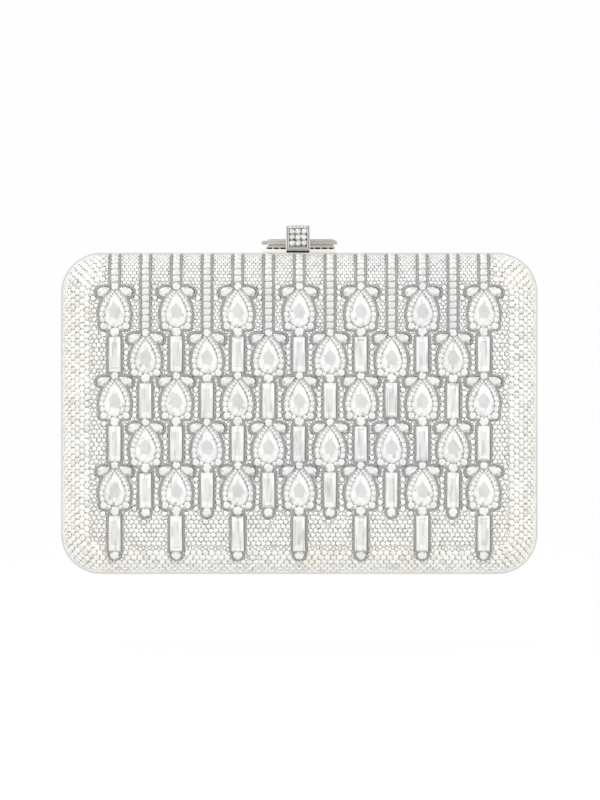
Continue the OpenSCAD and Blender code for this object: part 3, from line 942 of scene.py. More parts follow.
def turned(points: np.ndarray, degrees: float) -> np.ndarray:
    """Points turned anticlockwise about the origin."""
    a = math.radians(degrees)
    return points @ np.array([[math.cos(a), math.sin(a)], [-math.sin(a), math.cos(a)]])


def reach_of(outline: np.ndarray, heights: np.ndarray) -> np.ndarray:
    """Rightmost reach of a closed outline at each height.

    Args:
        outline: points of the outline.
        heights: where to measure.

    Returns:
        The reach, minus infinity where the outline doesn't pass.
    """
    out = np.full(len(heights), -np.inf)
    for (x0, z0), (x1, z1) in zip(outline, np.roll(outline, -1, axis=0)):
        if z0 == z1:
            continue
        share = (heights - z0) / (z1 - z0)
        hit = (share >= 0) & (share <= 1)
        out[hit] = np.maximum(out[hit], (x0 + share * (x1 - x0))[hit])
    return out


def widened(reach: np.ndarray, step: float, room: float) -> np.ndarray:
    """Reach of the same area grown by a distance all round.

    Args:
        reach: rightmost reach at evenly spaced heights.
        step: spacing of the heights.
        room: distance to grow by.

    Returns:
        The grown reach.
    """
    out = reach + room
    for k in range(1, int(room / step) + 1):
        side = math.sqrt(room ** 2 - (k * step) ** 2)
        out[k:] = np.maximum(out[k:], reach[:-k] + side)
        out[:-k] = np.maximum(out[:-k], reach[k:] + side)
    return out


@dataclass
class Pendant:
    """Sizes of one pendant of the pattern, in millimetres about its apex."""

    pear_l: float = 13.0
    pear_w: float = 7.5
    pear_h: float = 1.3
    leaf_l: float = 5.8
    leaf_w: float = 3.6
    leaf_slope: float = 26.0
    leaf_tip: tuple = (1.35, 1.5)
    link_drop: float = 14.9
    link: float = 3.4
    bag_drop: float = 16.55
    bag_l: float = 13.3
    bag_w: float = 4.6
    bag_h: float = 1.1
    apex_rise: float = 2.0
    apex: float = 2.8
    end_drop: float = 31.45
    end: float = 3.5
    stem: float = 2.85
    stem_pitch: float = 2.5
    hug: float = 0.05
    halo_room: float = 2.12
    halo_lift: float = 0.5
    halo_start: float = 0.8
    halo_gap: float = 0.04
    lobe_gap: float = 0.4
    halo_sizes: tuple = (1.0, 1.15, 1.35, 1.55, 1.75, 1.9, 2.0, 2.0, 2.7, 1.5)
    below: float = 30.0
    above: float = 5.0
    beside: float = 9.0

    def leaf(self, count: int, grow: float = 0.0) -> np.ndarray:
        """Outline of the right leaf stone."""
        shape = pear_outline(self.leaf_l + 2 * grow, self.leaf_w + 2 * grow, count) + [0.0, grow]
        return turned(shape, 90 - self.leaf_slope) + self.leaf_tip

    def halo(self) -> list:
        """Places and diameters of the halo's right half, each stone against the one before it."""
        outline = pear_outline(self.pear_l, self.pear_w, 2000)[:1000]
        way = np.gradient(outline, axis=0)
        normal = np.stack([-way[:, 1], way[:, 0]], 1) / np.linalg.norm(way, axis=1, keepdims=True)
        out = []
        for size in self.halo_sizes:
            gap = self.lobe_gap if size == max(self.halo_sizes) else self.halo_gap
            spots = outline + normal * (size / 2 + gap)
            index = int(np.argmin(np.abs(spots[:, 0] - self.halo_start)))
            if out:
                x, z, last = out[-1]
                far = np.hypot(spots[:, 0] - x, spots[:, 1] - z) - (size + last) / 2
                index = np.nonzero((far >= 0.02) & (spots[:, 1] < z))[0][0]
            out.append((spots[index, 0], spots[index, 1], size))
        return out

    def covers(self, x: np.ndarray, heights: np.ndarray, spare: float) -> np.ndarray:
        """Whether the pear, the leaves or the baguette cover a place.

        Args:
            x: sideways places about the column, along a row.
            heights: heights about the apex, along a column.
            spare: room to add round the stones.

        Returns:
            A grid of answers.
        """
        side, z = np.abs(x)[None], heights[:, None]
        pear = reach_of(pear_outline(self.pear_l, self.pear_w, 60), heights)[:, None] + spare
        leaf = self.leaf(60, spare)
        near, far = -reach_of(leaf * [-1, 1], heights)[:, None], reach_of(leaf, heights)[:, None]
        top, low = -self.bag_drop + spare, -self.bag_drop - self.bag_l
        bag = (side < self.bag_w / 2 + spare) & (z < top) & (z > low)
        return (side < pear) | ((side > near) & (side < far)) | bag

    def reach(self, heights: np.ndarray, step: float) -> np.ndarray:
        """Rightmost reach of all stones of the pendant at heights about the apex.

        Args:
            heights: where to measure.
            step: their spacing.

        Returns:
            The reach.
        """
        inner = pear_outline(self.pear_l - self.halo_lift, self.pear_w, 60)
        out = widened(reach_of(inner, heights), step, self.halo_room)
        out = np.maximum(out, reach_of(self.leaf(60, self.hug), heights))
        for x, z, d in self.halo():
            bulge = (d / 2 + self.hug) ** 2 - (heights - z) ** 2
            out[bulge > 0] = np.maximum(out[bulge > 0], x + np.sqrt(bulge[bulge > 0]))
        bag = (heights <= -self.bag_drop) & (heights >= -self.bag_drop - self.bag_l)
        out[bag] = np.maximum(out[bag], self.bag_w / 2 + self.hug)
        neck = (heights <= -self.link_drop + self.link / 2) & (heights >= -self.bag_drop - self.hug)
        out[neck] = np.maximum(out[neck], self.link / 2 + self.hug)
        return out


@dataclass
class Column:
    """One column of pendants with its stem over the top edge."""

    x: float
    first: float
    rows: int
    row_pitch: float
    pendant: Pendant
    stop: float
    step: float = 0.25
    ribbon: float = 0.72
    rise: float = 0.25
    floor: float = -0.15
    root: float = -0.45
    lip: tuple = (0.0, 0.02, 0.08)
    lip_h: float = 0.06
    spare: float = 3.0
    overlap: tuple = (0.5, 0.2)

    @property
    def apexes(self) -> np.ndarray:
        """Heights of the apexes."""
        return self.first - np.arange(self.rows) * self.row_pitch

    @property
    def end(self) -> float:
        """Height of the end stone."""
        return self.apexes[-1] - self.pendant.end_drop

    def area(self) -> tuple:
        """Heights along the skin, and the reach of the column's stones there."""
        p = self.pendant
        heights = np.arange(self.end - p.end / 2 - self.spare, self.stop, self.step)
        out = np.full(len(heights), -np.inf)
        for apex in self.apexes:
            out = np.maximum(out, p.reach(heights - apex, self.step))
            foot = apex + self.row_pitch - p.bag_drop - p.bag_l
            stem = (heights > apex - self.overlap[0]) & (heights < foot + self.overlap[1])
            out[stem] = np.maximum(out[stem], p.stem / 2 + p.hug)
        stem = heights > self.first
        out[stem] = np.maximum(out[stem], p.stem / 2 + p.hug)
        loop = (p.end / 2 + p.hug) ** 2 - (heights - self.end) ** 2
        out[loop > 0] = np.maximum(out[loop > 0], np.sqrt(loop[loop > 0]))
        return heights, out

    def stem_places(self) -> np.ndarray:
        """Heights of the stem's stones."""
        p = self.pendant
        start = self.first + p.apex_rise + (p.apex + p.stem) / 2
        return np.arange(start, self.stop - p.stem / 2, p.stem_pitch)

    def rounds(self) -> list:
        """Place and radius of every round stone of the column."""
        p = self.pendant
        out = [(self.x, z, p.stem / 2) for z in self.stem_places()] + [(self.x, self.end, p.end / 2)]
        for apex in self.apexes:
            out += [(self.x, apex + p.apex_rise, p.apex / 2), (self.x, apex - p.link_drop, p.link / 2)]
            out += [(self.x + side * x, apex + z, d / 2) for x, z, d in p.halo() for side in (-1, 1)]
        return out

    def ribbon_mesh(self, skin: Skin) -> tuple:
        """Points and faces of the metal ribbon that goes round the column's stones.

        Args:
            skin: the skin that it stands on.

        Returns:
            The points in millimetres and the faces.
        """
        heights, area = self.area()
        shoulder = self.rise - self.lip_h
        offsets = np.array([*self.lip, *(self.ribbon - each for each in reversed(self.lip))])
        rises = np.array([self.root, shoulder, self.rise, self.rise, shoulder, self.root])
        grown = np.stack([widened(area, self.step, d) if d else area for d in offsets], 1)
        below = np.maximum(heights[np.isfinite(area)][0] - heights, 0.0)
        used = grown[:, -1] > 0
        heights, grown, below = heights[used], grown[used], below[used]
        shut = grown <= 0
        lift = np.where(shut, np.interp(below[:, None], offsets, rises), rises[None])
        lift[:, 0] = np.where(shut[:, 0], self.root, lift[:, 0])
        grown = np.maximum(grown, 0.0)
        rows, cols = grown.shape
        points, faces = [], []
        for way in (1, -1):
            base = len(points) * rows * cols
            spots, normals, _ = skin.face(self.x + way * grown, heights[:, None])
            points.append((spots + normals * lift[..., None]).reshape(-1, 3))
            for i in range(rows - 1):
                for j in range(cols):
                    a, b = base + i * cols + j, base + i * cols + (j + 1) % cols
                    quad = (a, b, b + cols, a + cols)
                    faces.append(quad if way > 0 else quad[::-1])
            for i in (0, rows - 1):
                cap = tuple(base + i * cols + j for j in range(cols))
                faces.append(cap[::-1] if (i == 0) == (way > 0) else cap)
        return np.concatenate(points), faces

    def floor_mesh(self, skin: Skin) -> tuple:
        """Points and faces of the bright plate under the column's stones.

        Args:
            skin: the skin that it lies in.

        Returns:
            The points in millimetres and the faces.
        """
        heights, area = self.area()
        used = np.isfinite(area)
        heights, area = heights[used], area[used]
        across = np.stack([-area, -area, area, area], 1)
        lift = np.array([self.root, self.floor, self.floor, self.root])
        spots, normals, _ = skin.face(self.x + across, heights[:, None])
        rows = len(heights)
        faces = [(4 * i + j, 4 * i + (j + 1) % 4, 4 * i + 4 + (j + 1) % 4, 4 * i + 4 + j)
                 for i in range(rows - 1) for j in range(4)]
        faces += [(0, 1, 2, 3), tuple(4 * rows - 4 + j for j in range(4))]
        return (spots + normals * lift[None, :, None]).reshape(-1, 3), faces


class Plan:
    """Unrolled front skin with the room that is left round each place, for setting the field."""

    def __init__(self, low: Sequence[float], high: Sequence[float], cell: float = 0.1,
                 reach: float = 3.0) -> None:
        """Starts an empty plan.

        Args:
            low: lowest sideways place and height along the skin.
            high: highest ones.
            cell: spacing of the grid.
            reach: greatest room that is told apart.
        """
        self.cell, self.reach = cell, reach
        self.x = np.arange(low[0], high[0], cell)
        self.z = np.arange(low[1], high[1], cell)
        self.room = np.full((len(self.z), len(self.x)), reach)

    def block(self, mask: np.ndarray) -> None:
        """Takes the distance to a covered area into the room that is left."""
        flat = np.where(mask, 0.0, self.reach)
        steps = int(self.reach / self.cell)
        for k in range(1, steps):
            near = k * self.cell
            flat[:, k:] = np.where(mask[:, :-k], np.minimum(flat[:, k:], near), flat[:, k:])
            flat[:, :-k] = np.where(mask[:, k:], np.minimum(flat[:, :-k], near), flat[:, :-k])
        for k in range(-steps, steps + 1):
            here, there = slice(max(k, 0), len(flat) + min(k, 0)), slice(max(-k, 0), len(flat) + min(-k, 0))
            far = np.hypot(flat[there], k * self.cell)
            self.room[here] = np.minimum(self.room[here], far)

    def stamp(self, x: float, z: float, radius: float) -> None:
        """Takes one stone into the room that is left."""
        span = radius + self.reach
        i0, i1 = np.searchsorted(self.z, (z - span, z + span))
        j0, j1 = np.searchsorted(self.x, (x - span, x + span))
        far = np.hypot(self.z[i0:i1, None] - z, self.x[None, j0:j1] - x) - radius
        self.room[i0:i1, j0:j1] = np.minimum(self.room[i0:i1, j0:j1], far)

    def files(self, low: float, high: float, gap: float) -> list:
        """Sets single files of stones down the middle of each narrow channel.

        Args:
            low: least radius.
            high: greatest radius.
            gap: gap between stones.

        Returns:
            Rows of x, height and radius.
        """
        room, out = self.room.copy(), []
        ridge = np.zeros_like(room, bool)
        ridge[:, 1:-1] = (room[:, 1:-1] >= room[:, :-2]) & (room[:, 1:-1] > room[:, 2:])
        ridge &= (room >= low + gap) & (room <= high + gap)
        for i, j in zip(*np.nonzero(ridge)):
            radius = room[i, j] - gap
            if self.room[i, j] >= radius * 0.97 + gap:
                out.append((self.x[j], self.z[i], radius))
                self.stamp(*out[-1])
        return out

    def lattice(self, pitch: float, gap: float, where: np.ndarray) -> list:
        """Sets a honeycomb of stones, left out where there isn't room.

        Args:
            pitch: distance between stones.
            gap: gap between stones.
            where: the part of the plan that is set.

        Returns:
            Rows of x, height and radius.
        """
        radius, out = pitch / 2 * 1.02, []
        for k, z in enumerate(np.arange(self.z[0], self.z[-1], pitch * math.sqrt(3) / 2)):
            i = int(np.searchsorted(self.z, z))
            for x in np.arange(self.x[0] + pitch / 2 * (k % 2), self.x[-1], pitch):
                j = min(int(np.searchsorted(self.x, x)), len(self.x) - 1)
                if where[i, j] and self.room[i, j] >= 0.84 * radius + gap:
                    out.append((x, z, min(self.room[i, j] - gap, radius)))
        for each in out:
            self.stamp(*each)
        return out

    def fill(self, radius: float, gap: float, grow: float = 1.15) -> list:
        """Sets stones of about one radius, each against what is already there.

        Args:
            radius: least radius.
            gap: gap between stones.
            grow: how much larger a stone may be where there is room.

        Returns:
            Rows of x, height and radius.
        """
        need, out = radius + gap, []
        while True:
            rows, cols = np.nonzero((self.room >= need) & (self.room < need + 2.5 * self.cell))
            before = len(out)
            for i, j in zip(rows, cols):
                if self.room[i, j] >= need:
                    size = min(self.room[i, j] - gap, radius * grow)
                    out.append((self.x[j], self.z[i], size))
                    self.stamp(*out[-1])
            if len(out) == before:
                return out


@dataclass
class Pave:
    """Layer of set stones over one half: the bed and the stones of the field."""

    side: Side
    pitch: float = 2.8
    radius: float = 1.4
    gap: float = 0.02
    first_row: float = 1.45
    bed_drop: float = 0.42
    bed_wall: float = 1.0
    bed_steps: int = 14

    def __post_init__(self) -> None:
        """Reads the skin off the frame."""
        self.skin = Skin.of(self.side)
        self.body = Body.REAR if self.side is Side.REAR else Body.FRONT
        self.word = "rear" if self.side is Side.REAR else "front"

    def bed(self) -> bpy.types.Object:
        """Builds the metal shell that the stones are set in, open towards the frame."""
        under = Skin.of(self.side, self.bed_drop)
        way = self.side.value
        low = [-under.half_w, min(way * under.wall_start, way * under.depth), under.bottom]
        high = [under.half_w, max(way * under.wall_start, way * under.depth), under.top]
        piece = block(f"{self.word}_bed", low, high)
        deep, seam = way * under.depth * MM, way * under.wall_start * MM
        with editing(piece):
            pick_edges(piece, along_y)
            bpy.ops.mesh.bevel(offset=under.corner * MM, segments=self.bed_steps, affect="EDGES")
            pick_edges(piece, lambda a, b: max(abs(a.y - deep), abs(b.y - deep)) < 1e-6)
            bpy.ops.mesh.bevel(offset=under.edge * MM, segments=self.bed_steps, affect="EDGES")
            pick_faces(piece, lambda each: abs(each.calc_center_median().y - seam) < 1e-6)
            bpy.ops.mesh.delete(type="FACE")
            bpy.ops.mesh.select_all(action="SELECT")
            bpy.ops.mesh.normals_make_consistent(inside=False)
        return smooth(walled(piece, self.bed_wall), 30)

    def outline_rows(self, last: float, keep: Callable) -> tuple:
        """Sets rows of stones that follow the rounded outline.

        Args:
            last: distance along the section at which the rows end.
            keep: test of a row's places, given them and the distance along the section.

        Returns:
            The setting, and rows of x, height along the skin and radius of its stones.
        """
        setting, taken, along, index = Setting(), [], self.first_row, 0
        way, skin = self.side.value, self.skin
        while along <= last:
            inset, deep, turn = skin.section(along)
            rows = skin.outline(inset, self.pitch, 0.5 * (index % 2))
            rows = rows[keep(rows, along)]
            if len(rows):
                x, z, nx, nz = rows.T
                flat, lean, one = math.cos(turn), math.sin(turn), np.ones_like(x)
                setting.add(np.stack([x, way * deep * one, z], 1),
                            np.stack([nx * flat, way * lean * one, nz * flat], 1),
                            np.stack([-nx * lean, way * flat * one, -nz * lean], 1), self.radius)
                past = max(skin.wall + skin.bend - along, 0.0)
                path = np.where(nz > 0.7, np.maximum(z, skin.flat_top + past * (past > 0)), z)
                path = np.where(nz < -0.7, np.minimum(z, skin.flat_bottom - past), path) if past else path
                taken.append(np.stack([x, path, self.radius * one], 1))
            along += self.pitch * math.sqrt(3) / 2
            index += 1
        return setting, np.concatenate(taken)


@dataclass
class RearPave(Pave):
    """Plain field of the back: rows round the outline and a honeycomb on the flat."""

    side: Side = Side.REAR
    margin: float = 2.0
    grid: float = 0.15
    filler_radii: tuple = (1.1, 0.8, 0.6)

    def build(self, stone: Stone, crystal: bpy.types.Material, metal: bpy.types.Material) -> None:
        """Builds and dresses the bed and its stones.

        Args:
            stone: cut of the field stones.
            crystal: finish of the stones.
            metal: finish of the bed.
        """
        dress(self.bed(), metal, self.body, ["rear_pave"])
        skin = self.skin
        last = skin.wall + skin.bend - 0.2
        rows, _ = self.outline_rows(last, lambda places, along: np.ones(len(places), bool))
        dress(rows.build("rear_edge_stones", stone, 11), crystal, self.body)
        centre, fill = Setting(), Setting()
        half_w, low, high = skin.half_w - skin.edge, skin.flat_bottom, skin.flat_top
        plan = Plan((-half_w - self.margin, low - self.margin), (half_w + self.margin, high + self.margin),
                    self.grid)
        height = plan.z[:, None]
        plan.block((np.abs(plan.x)[None] > half_w - 0.1) | (height < low + 0.1) | (height > high - 0.1))
        step = self.pitch * math.sqrt(3) / 2
        lines = int((half_w - self.radius) / step)
        for k in range(-lines, lines + 1):
            half = (high - low) / 2
            count = int((half - self.radius) / self.pitch - 0.5 * (k % 2))
            z = (low + high) / 2 + (np.arange(-count - (k % 2), count + 1) + 0.5 * (k % 2)) * self.pitch
            centre.add(*skin.face(np.full(len(z), k * step), z), self.radius)
            for each in z:
                plan.stamp(k * step, each, self.radius)
        for radius in self.filler_radii:
            for x, z, size in plan.fill(radius, self.gap):
                fill.add(*skin.face(x, z), size)
        dress(centre.build("rear_field_stones", stone, 12), crystal, self.body)
        if fill.places:
            dress(fill.build("rear_filler_stones", stone, 13), crystal, self.body)


@dataclass
class FrontPave(Pave):
    """Front field with its pattern of pendants, ribbons and files of small stones."""

    side: Side = Side.FRONT
    pitch: float = 2.32
    radius: float = 1.17
    pendant: Pendant = field(default_factory=Pendant)
    col_pitch: float = 22.87
    row_pitch: float = 33.3
    long_drop: float = 14.7
    short_drop: float = 32.0
    bottom_rows: float = 19.5
    side_rows: float = 21.0
    corner_keep: float = 72.4
    filled_to: float = 78.6
    wide_pitch: float = 1.85
    fine_pitch: float = 1.5
    file_radii: tuple = (0.62, 1.2)
    least_room: float = 0.95
    known_to: float = 81.0
    filler_radii: tuple = (0.78, 0.66, 0.56, 0.46, 0.36, 0.28)

    def __post_init__(self) -> None:
        """Lays out the columns."""
        super().__post_init__()
        height = size_of("rear_pave")[1][2]
        stop = self.skin.flat_top + self.skin.bend + self.skin.wall
        layout = ((7, 3, height - self.long_drop), (6, 2, height - self.short_drop))
        self.columns = [Column((k - (count - 1) / 2) * self.col_pitch, first, rows, self.row_pitch,
                               self.pendant, stop)
                        for count, rows, first in layout for k in range(count)]
        self.stop = stop
        self.rounds = [spot for column in self.columns for spot in column.rounds()]

    def plan(self) -> Plan:
        """Marks the ribbons, the borders and the stones of the pattern."""
        skin = self.skin
        plan = Plan((-80.0, 2.0), (80.0, self.stop + 1.0))
        side, height = np.abs(plan.x)[None], plan.z[:, None]
        mask = (side > self.filled_to) | (height > self.stop - 0.1)
        beyond = (height > skin.flat_top + 0.5) | (height < skin.flat_bottom - 0.5)
        mask |= (side > self.corner_keep + 1.6) & beyond
        for column in self.columns:
            heights, area = column.area()
            reach = widened(area, column.step, column.ribbon)
            inner, outer = (np.interp(plan.z, heights, np.where(np.isfinite(edge), edge, -1.0), -1.0, -1.0)
                            [:, None] for edge in (area, reach))
            away = np.abs(plan.x[None] - column.x)
            mask |= (away < outer) & (away > inner)
            for apex in column.apexes:
                i0, i1 = np.searchsorted(plan.z, (apex - self.pendant.below, apex + self.pendant.above))
                j0, j1 = np.searchsorted(plan.x, (column.x - self.pendant.beside,
                                                  column.x + self.pendant.beside))
                mask[i0:i1, j0:j1] |= self.pendant.covers(plan.x[j0:j1] - column.x, plan.z[i0:i1] - apex, 0.1)
        plan.block(mask)
        for x, z, radius in self.rounds:
            plan.stamp(x, z, radius)
        return plan

    def build(self, stone: Stone, fine: Stone, crystal: bpy.types.Material,
              metal: bpy.types.Material) -> None:
        """Builds and dresses the bed and the stones of the field.

        Args:
            stone: cut of the border's stones.
            fine: cut of the smaller stones.
            crystal: finish of the stones.
            metal: finish of the bed.
        """
        dress(self.bed(), metal, self.body, ["front_pave"])
        skin, plan = self.skin, self.plan()

        def keep(places: np.ndarray, along: float) -> np.ndarray:
            """Rows go round the sides and corners, and along the bottom edge between the columns."""
            beside = np.abs(places[:, 0]) > self.corner_keep
            level = skin.flat_bottom - skin.wall - skin.bend + along
            row = int(np.clip(np.searchsorted(plan.z, level), 0, len(plan.z) - 1))
            cells = np.clip(np.searchsorted(plan.x, places[:, 0]), 0, len(plan.x) - 1)
            free = plan.room[row, cells] > self.radius * self.least_room
            return beside | ((places[:, 3] < -0.9) & (along < self.bottom_rows) & free)

        rows, taken = self.outline_rows(self.side_rows, keep)
        dress(rows.build("front_edge_stones", stone, 21), crystal, self.body)
        for x, z, radius in taken[np.abs(taken[:, 0]) < self.known_to]:
            plan.stamp(x, z, radius)
        files = Setting()
        for x, z, size in plan.files(*self.file_radii, self.gap):
            files.add(*self.skin.face(x, z), size)
        dress(files.build("front_file_stones", fine, 22), crystal, self.body)
        fill = Setting()
        among = (np.abs(plan.x)[None] < self.corner_keep) & (plan.z[:, None] > self.columns[-1].end)
        spots = plan.lattice(self.wide_pitch, self.gap, ~among)
        spots += plan.lattice(self.fine_pitch, self.gap, among)
        for radius in self.filler_radii:
            spots += plan.fill(radius, self.gap)
        for x, z, size in spots:
            fill.add(*self.skin.face(x, z), size)
        dress(fill.build("front_filler_stones", fine, 23), crystal, self.body)

    def strips(self, name: str, strips: Sequence[tuple], nodes: Sequence[str],
               metal: bpy.types.Material) -> None:
        """Builds the ribbons or floors of some columns in one mesh.

        Args:
            name: name of the piece.
            strips: points and faces of each column's own.
            nodes: the CAD nodes that it stands for.
            metal: its finish.
        """
        points, faces, count = [], [], 0
        for spots, sides in strips:
            points.append(spots)
            faces += [tuple(v + count for v in side) for side in sides]
            count += len(spots)
        mesh = bpy.data.meshes.new(name)
        mesh.from_pydata(np.concatenate(points) * MM, [], faces)
        piece = linked(name, mesh)
        with editing(piece):
            bpy.ops.mesh.remove_doubles(threshold=1e-7)
            bpy.ops.mesh.normals_make_consistent(inside=False)
        dress(smooth(piece, 50), metal, self.body, nodes)


def grown(outline: np.ndarray, room: float) -> np.ndarray:
    """Closed outline with its points moved outwards."""
    ahead, behind = np.roll(outline, -1, axis=0), np.roll(outline, 1, axis=0)
    way = ahead - behind
    normal = np.stack([way[:, 1], -way[:, 0]], 1)
    normal /= np.linalg.norm(normal, axis=1, keepdims=True)
    area = np.sum(outline[:, 0] * ahead[:, 1] - ahead[:, 0] * outline[:, 1])
    return outline + normal * room * math.copysign(1.0, area)


def oblong(width: float, length: float, cut: float) -> np.ndarray:
    """Rectangle with cut corners about the origin, anticlockwise."""
    w, h = width / 2, length / 2
    return np.array([(w, -h + cut), (w, h - cut), (w - cut, h), (-w + cut, h), (-w, h - cut), (-w, -h + cut),
                     (-w + cut, -h), (w - cut, -h)])


def cup(outline: np.ndarray, height: float, gap: float = 0.02, wall: float = 0.09,
        sunk: float = 0.5) -> Stone:
    """Thin metal cup that a stone sits in, its wall darkened on the side away from the light as a painted
    shade.

    Args:
        outline: girdle of the stone.
        height: height of the rim over the field.
        gap: gap between stone and wall.
        wall: thickness of the wall.
        sunk: depth of the underside.

    Returns:
        The cup, to be copied as a stone is.
    """
    outer, inner = grown(outline, gap + wall), grown(outline, gap)
    made = Stone.cut(outer, [(-sunk, outer), (height - 0.08, outer),
                             (height, grown(outline, gap + wall * 0.6)),
                             (height, grown(outline, gap + wall * 0.3)),
                             (height - 0.08, inner), (0.1 - sunk, inner)], Shade())
    # painted shade: the wall darkens towards UNLIT_WAY, the side of the raised stone away from the light
    middle = outline.mean(axis=0)
    for index, face in enumerate(made.faces):
        way = made.points[list(face), :2].mean(axis=0) - middle
        lean = float(way @ UNLIT_WAY) / max(float(np.hypot(*way)), 1e-6)
        made.shades[index] = 1.0 - 0.75 * max(lean, 0.0) ** 1.5
    return made


@dataclass
class Ornament:
    """Cut stones of the pattern, each kind in one piece."""

    pave: FrontPave
    crystal: bpy.types.Material
    metal: bpy.types.Material
    floor: bpy.types.Material
    rim: bpy.types.Material
    # finishes of the baguettes and pears, which carry painted reflection streaks
    streaked: bpy.types.Material
    faint_streaked: bpy.types.Material
    pear_size: tuple = (1.02, 1.08)
    halo_size: float = 1.05
    round_size: float = 1.08
    end_size: float = 1.04
    halo_rise: float = 0.32
    link_rise: float = 0.6
    apex_rise: float = 0.5
    end_rise: float = 0.55
    cup_rim: float = 0.35
    bag_rim: float = 0.4
    sunk: float = 0.5
    clear: Shade = field(default_factory=lambda: Shade(table=0.86, crown=0.94, spread=0.22, dark=0.1))

    def _spots(self, x: float, height: float, rise: float) -> tuple:
        """Place, normal and upward direction on the front at a rise over the skin."""
        place, normal, up = self.pave.skin.face(x, height)
        return place + normal * rise, normal, up

    def _each(self, offsets: Sequence[tuple]) -> list:
        """Every apex of the pattern with offsets about it, as x and height."""
        return [(column.x + dx, apex + dz) for column in self.pave.columns for apex in column.apexes
                for dx, dz in offsets]

    def _set(self, name: str, spots: Sequence[tuple], sizes: object, rise: float, stone: Stone,
             node: Sequence[str], seed: int, spin: float = 0.0,
             metal: Optional[bpy.types.Material] = None, glass: Optional[bpy.types.Material] = None) -> None:
        """Sets copies of one stone or cup and dresses the piece.

        Args:
            name: name of the piece.
            spots: x and height of each copy.
            sizes: scale of the copies.
            rise: rise of their origin over the skin.
            stone: what is copied.
            node: the CAD nodes that the piece stands for.
            seed: seed of the small irregularities.
            spin: greatest turn about the normal.
            metal: finish of a cup, or none for a stone.
            glass: finish of a stone, if it isn't the plain one.
        """
        setting = Setting()
        sizes = np.broadcast_to(sizes, len(spots))
        for (x, height), size in zip(spots, sizes):
            setting.add(*self._spots(x, height, rise), size)
        if metal:
            piece = smooth(setting.build(name, stone, seed, spin, tilt=0.0, dull=0.0, flash=0.0), 40)
            dress(piece, metal, Body.FRONT, node)
        else:
            piece = setting.build(name, stone, seed, spin, tilt=0.7, dull=0.08, flash=0.1, least=0.62)
            dress(piece, glass or self.crystal, Body.FRONT, node)

    def pears(self) -> None:
        """The large pears in their cups."""
        p = self.pave.pendant
        outline = pear_outline(p.pear_l * self.pear_size[0], p.pear_w * self.pear_size[1], 22)[::-1]
        shade = Shade(table=0.73, crown=1.0, spread=0.2, dark=0.0, seed=5)
        middle = np.array([0.0, -p.pear_l * 0.56])
        table = np.array([(0.0, -0.32), (-0.3, -0.5), (-0.22, -0.74), (0.2, -0.78), (0.31, -0.52)])
        stone = Stone.star(outline, table * (p.pear_w, p.pear_l), middle, p.pear_h, self.sunk, shade)
        spots = self._each([(0, 0)])
        self._set("pear_stones", spots, 1.0, 0.0, stone, ["pear_stones"], 31, glass=self.faint_streaked)
        self._set("pear_cups", spots, 1.0, 0.0, cup(outline, self.cup_rim), [], 32, metal=self.rim)

    def leaves(self) -> None:
        """The two leaf stones beside each apex."""
        p = self.pave.pendant
        right = p.leaf(14)[::-1]
        for word, outline in (("right", right), ("left", right[::-1] * [-1, 1])):
            centre = outline.mean(axis=0)
            shade = Shade(table=0.87, crown=0.86, spread=0.35, dark=0.15, seed=8)
            stone = Stone.shaped(outline, 0.75, self.sunk, shade, 0.5, centre)
            spots, nodes = self._each([(0, 0)]), ["leaf_stones"] if word == "right" else []
            self._set(f"{word}_leaf_stones", spots, 1.0, 0.0, stone, nodes, 33)
            self._set(f"{word}_leaf_cups", spots, 1.0, 0.0, cup(outline, self.cup_rim), [], 34,
                      metal=self.rim)

    def baguettes(self) -> None:
        """The step-cut baguettes in their cups."""
        p = self.pave.pendant
        outline = oblong(p.bag_w + 0.05, p.bag_l + 0.2, 0.2)
        rings = [(-self.sunk, outline), (0.25, outline),
                 (p.bag_h * 0.6, oblong(p.bag_w - 1.0, p.bag_l - 2.2, 0.15)),
                 (p.bag_h * 0.9, oblong(p.bag_w - 1.9, p.bag_l - 3.8, 0.1)),
                 (p.bag_h, oblong(p.bag_w - 2.3, p.bag_l - 4.4, 0.1))]
        stone = Stone.cut(outline, rings, Shade(table=0.8, crown=0.98, spread=0.14, dark=0.0, seed=14))
        spots = self._each([(0, -p.bag_drop - p.bag_l / 2)])
        self._set("baguette_stones", spots, 1.0, 0.0, stone, ["baguette_stones"], 35, glass=self.streaked)
        self._set("baguette_cups", spots, 1.0, 0.0, cup(outline, self.bag_rim), [], 36, metal=self.rim)

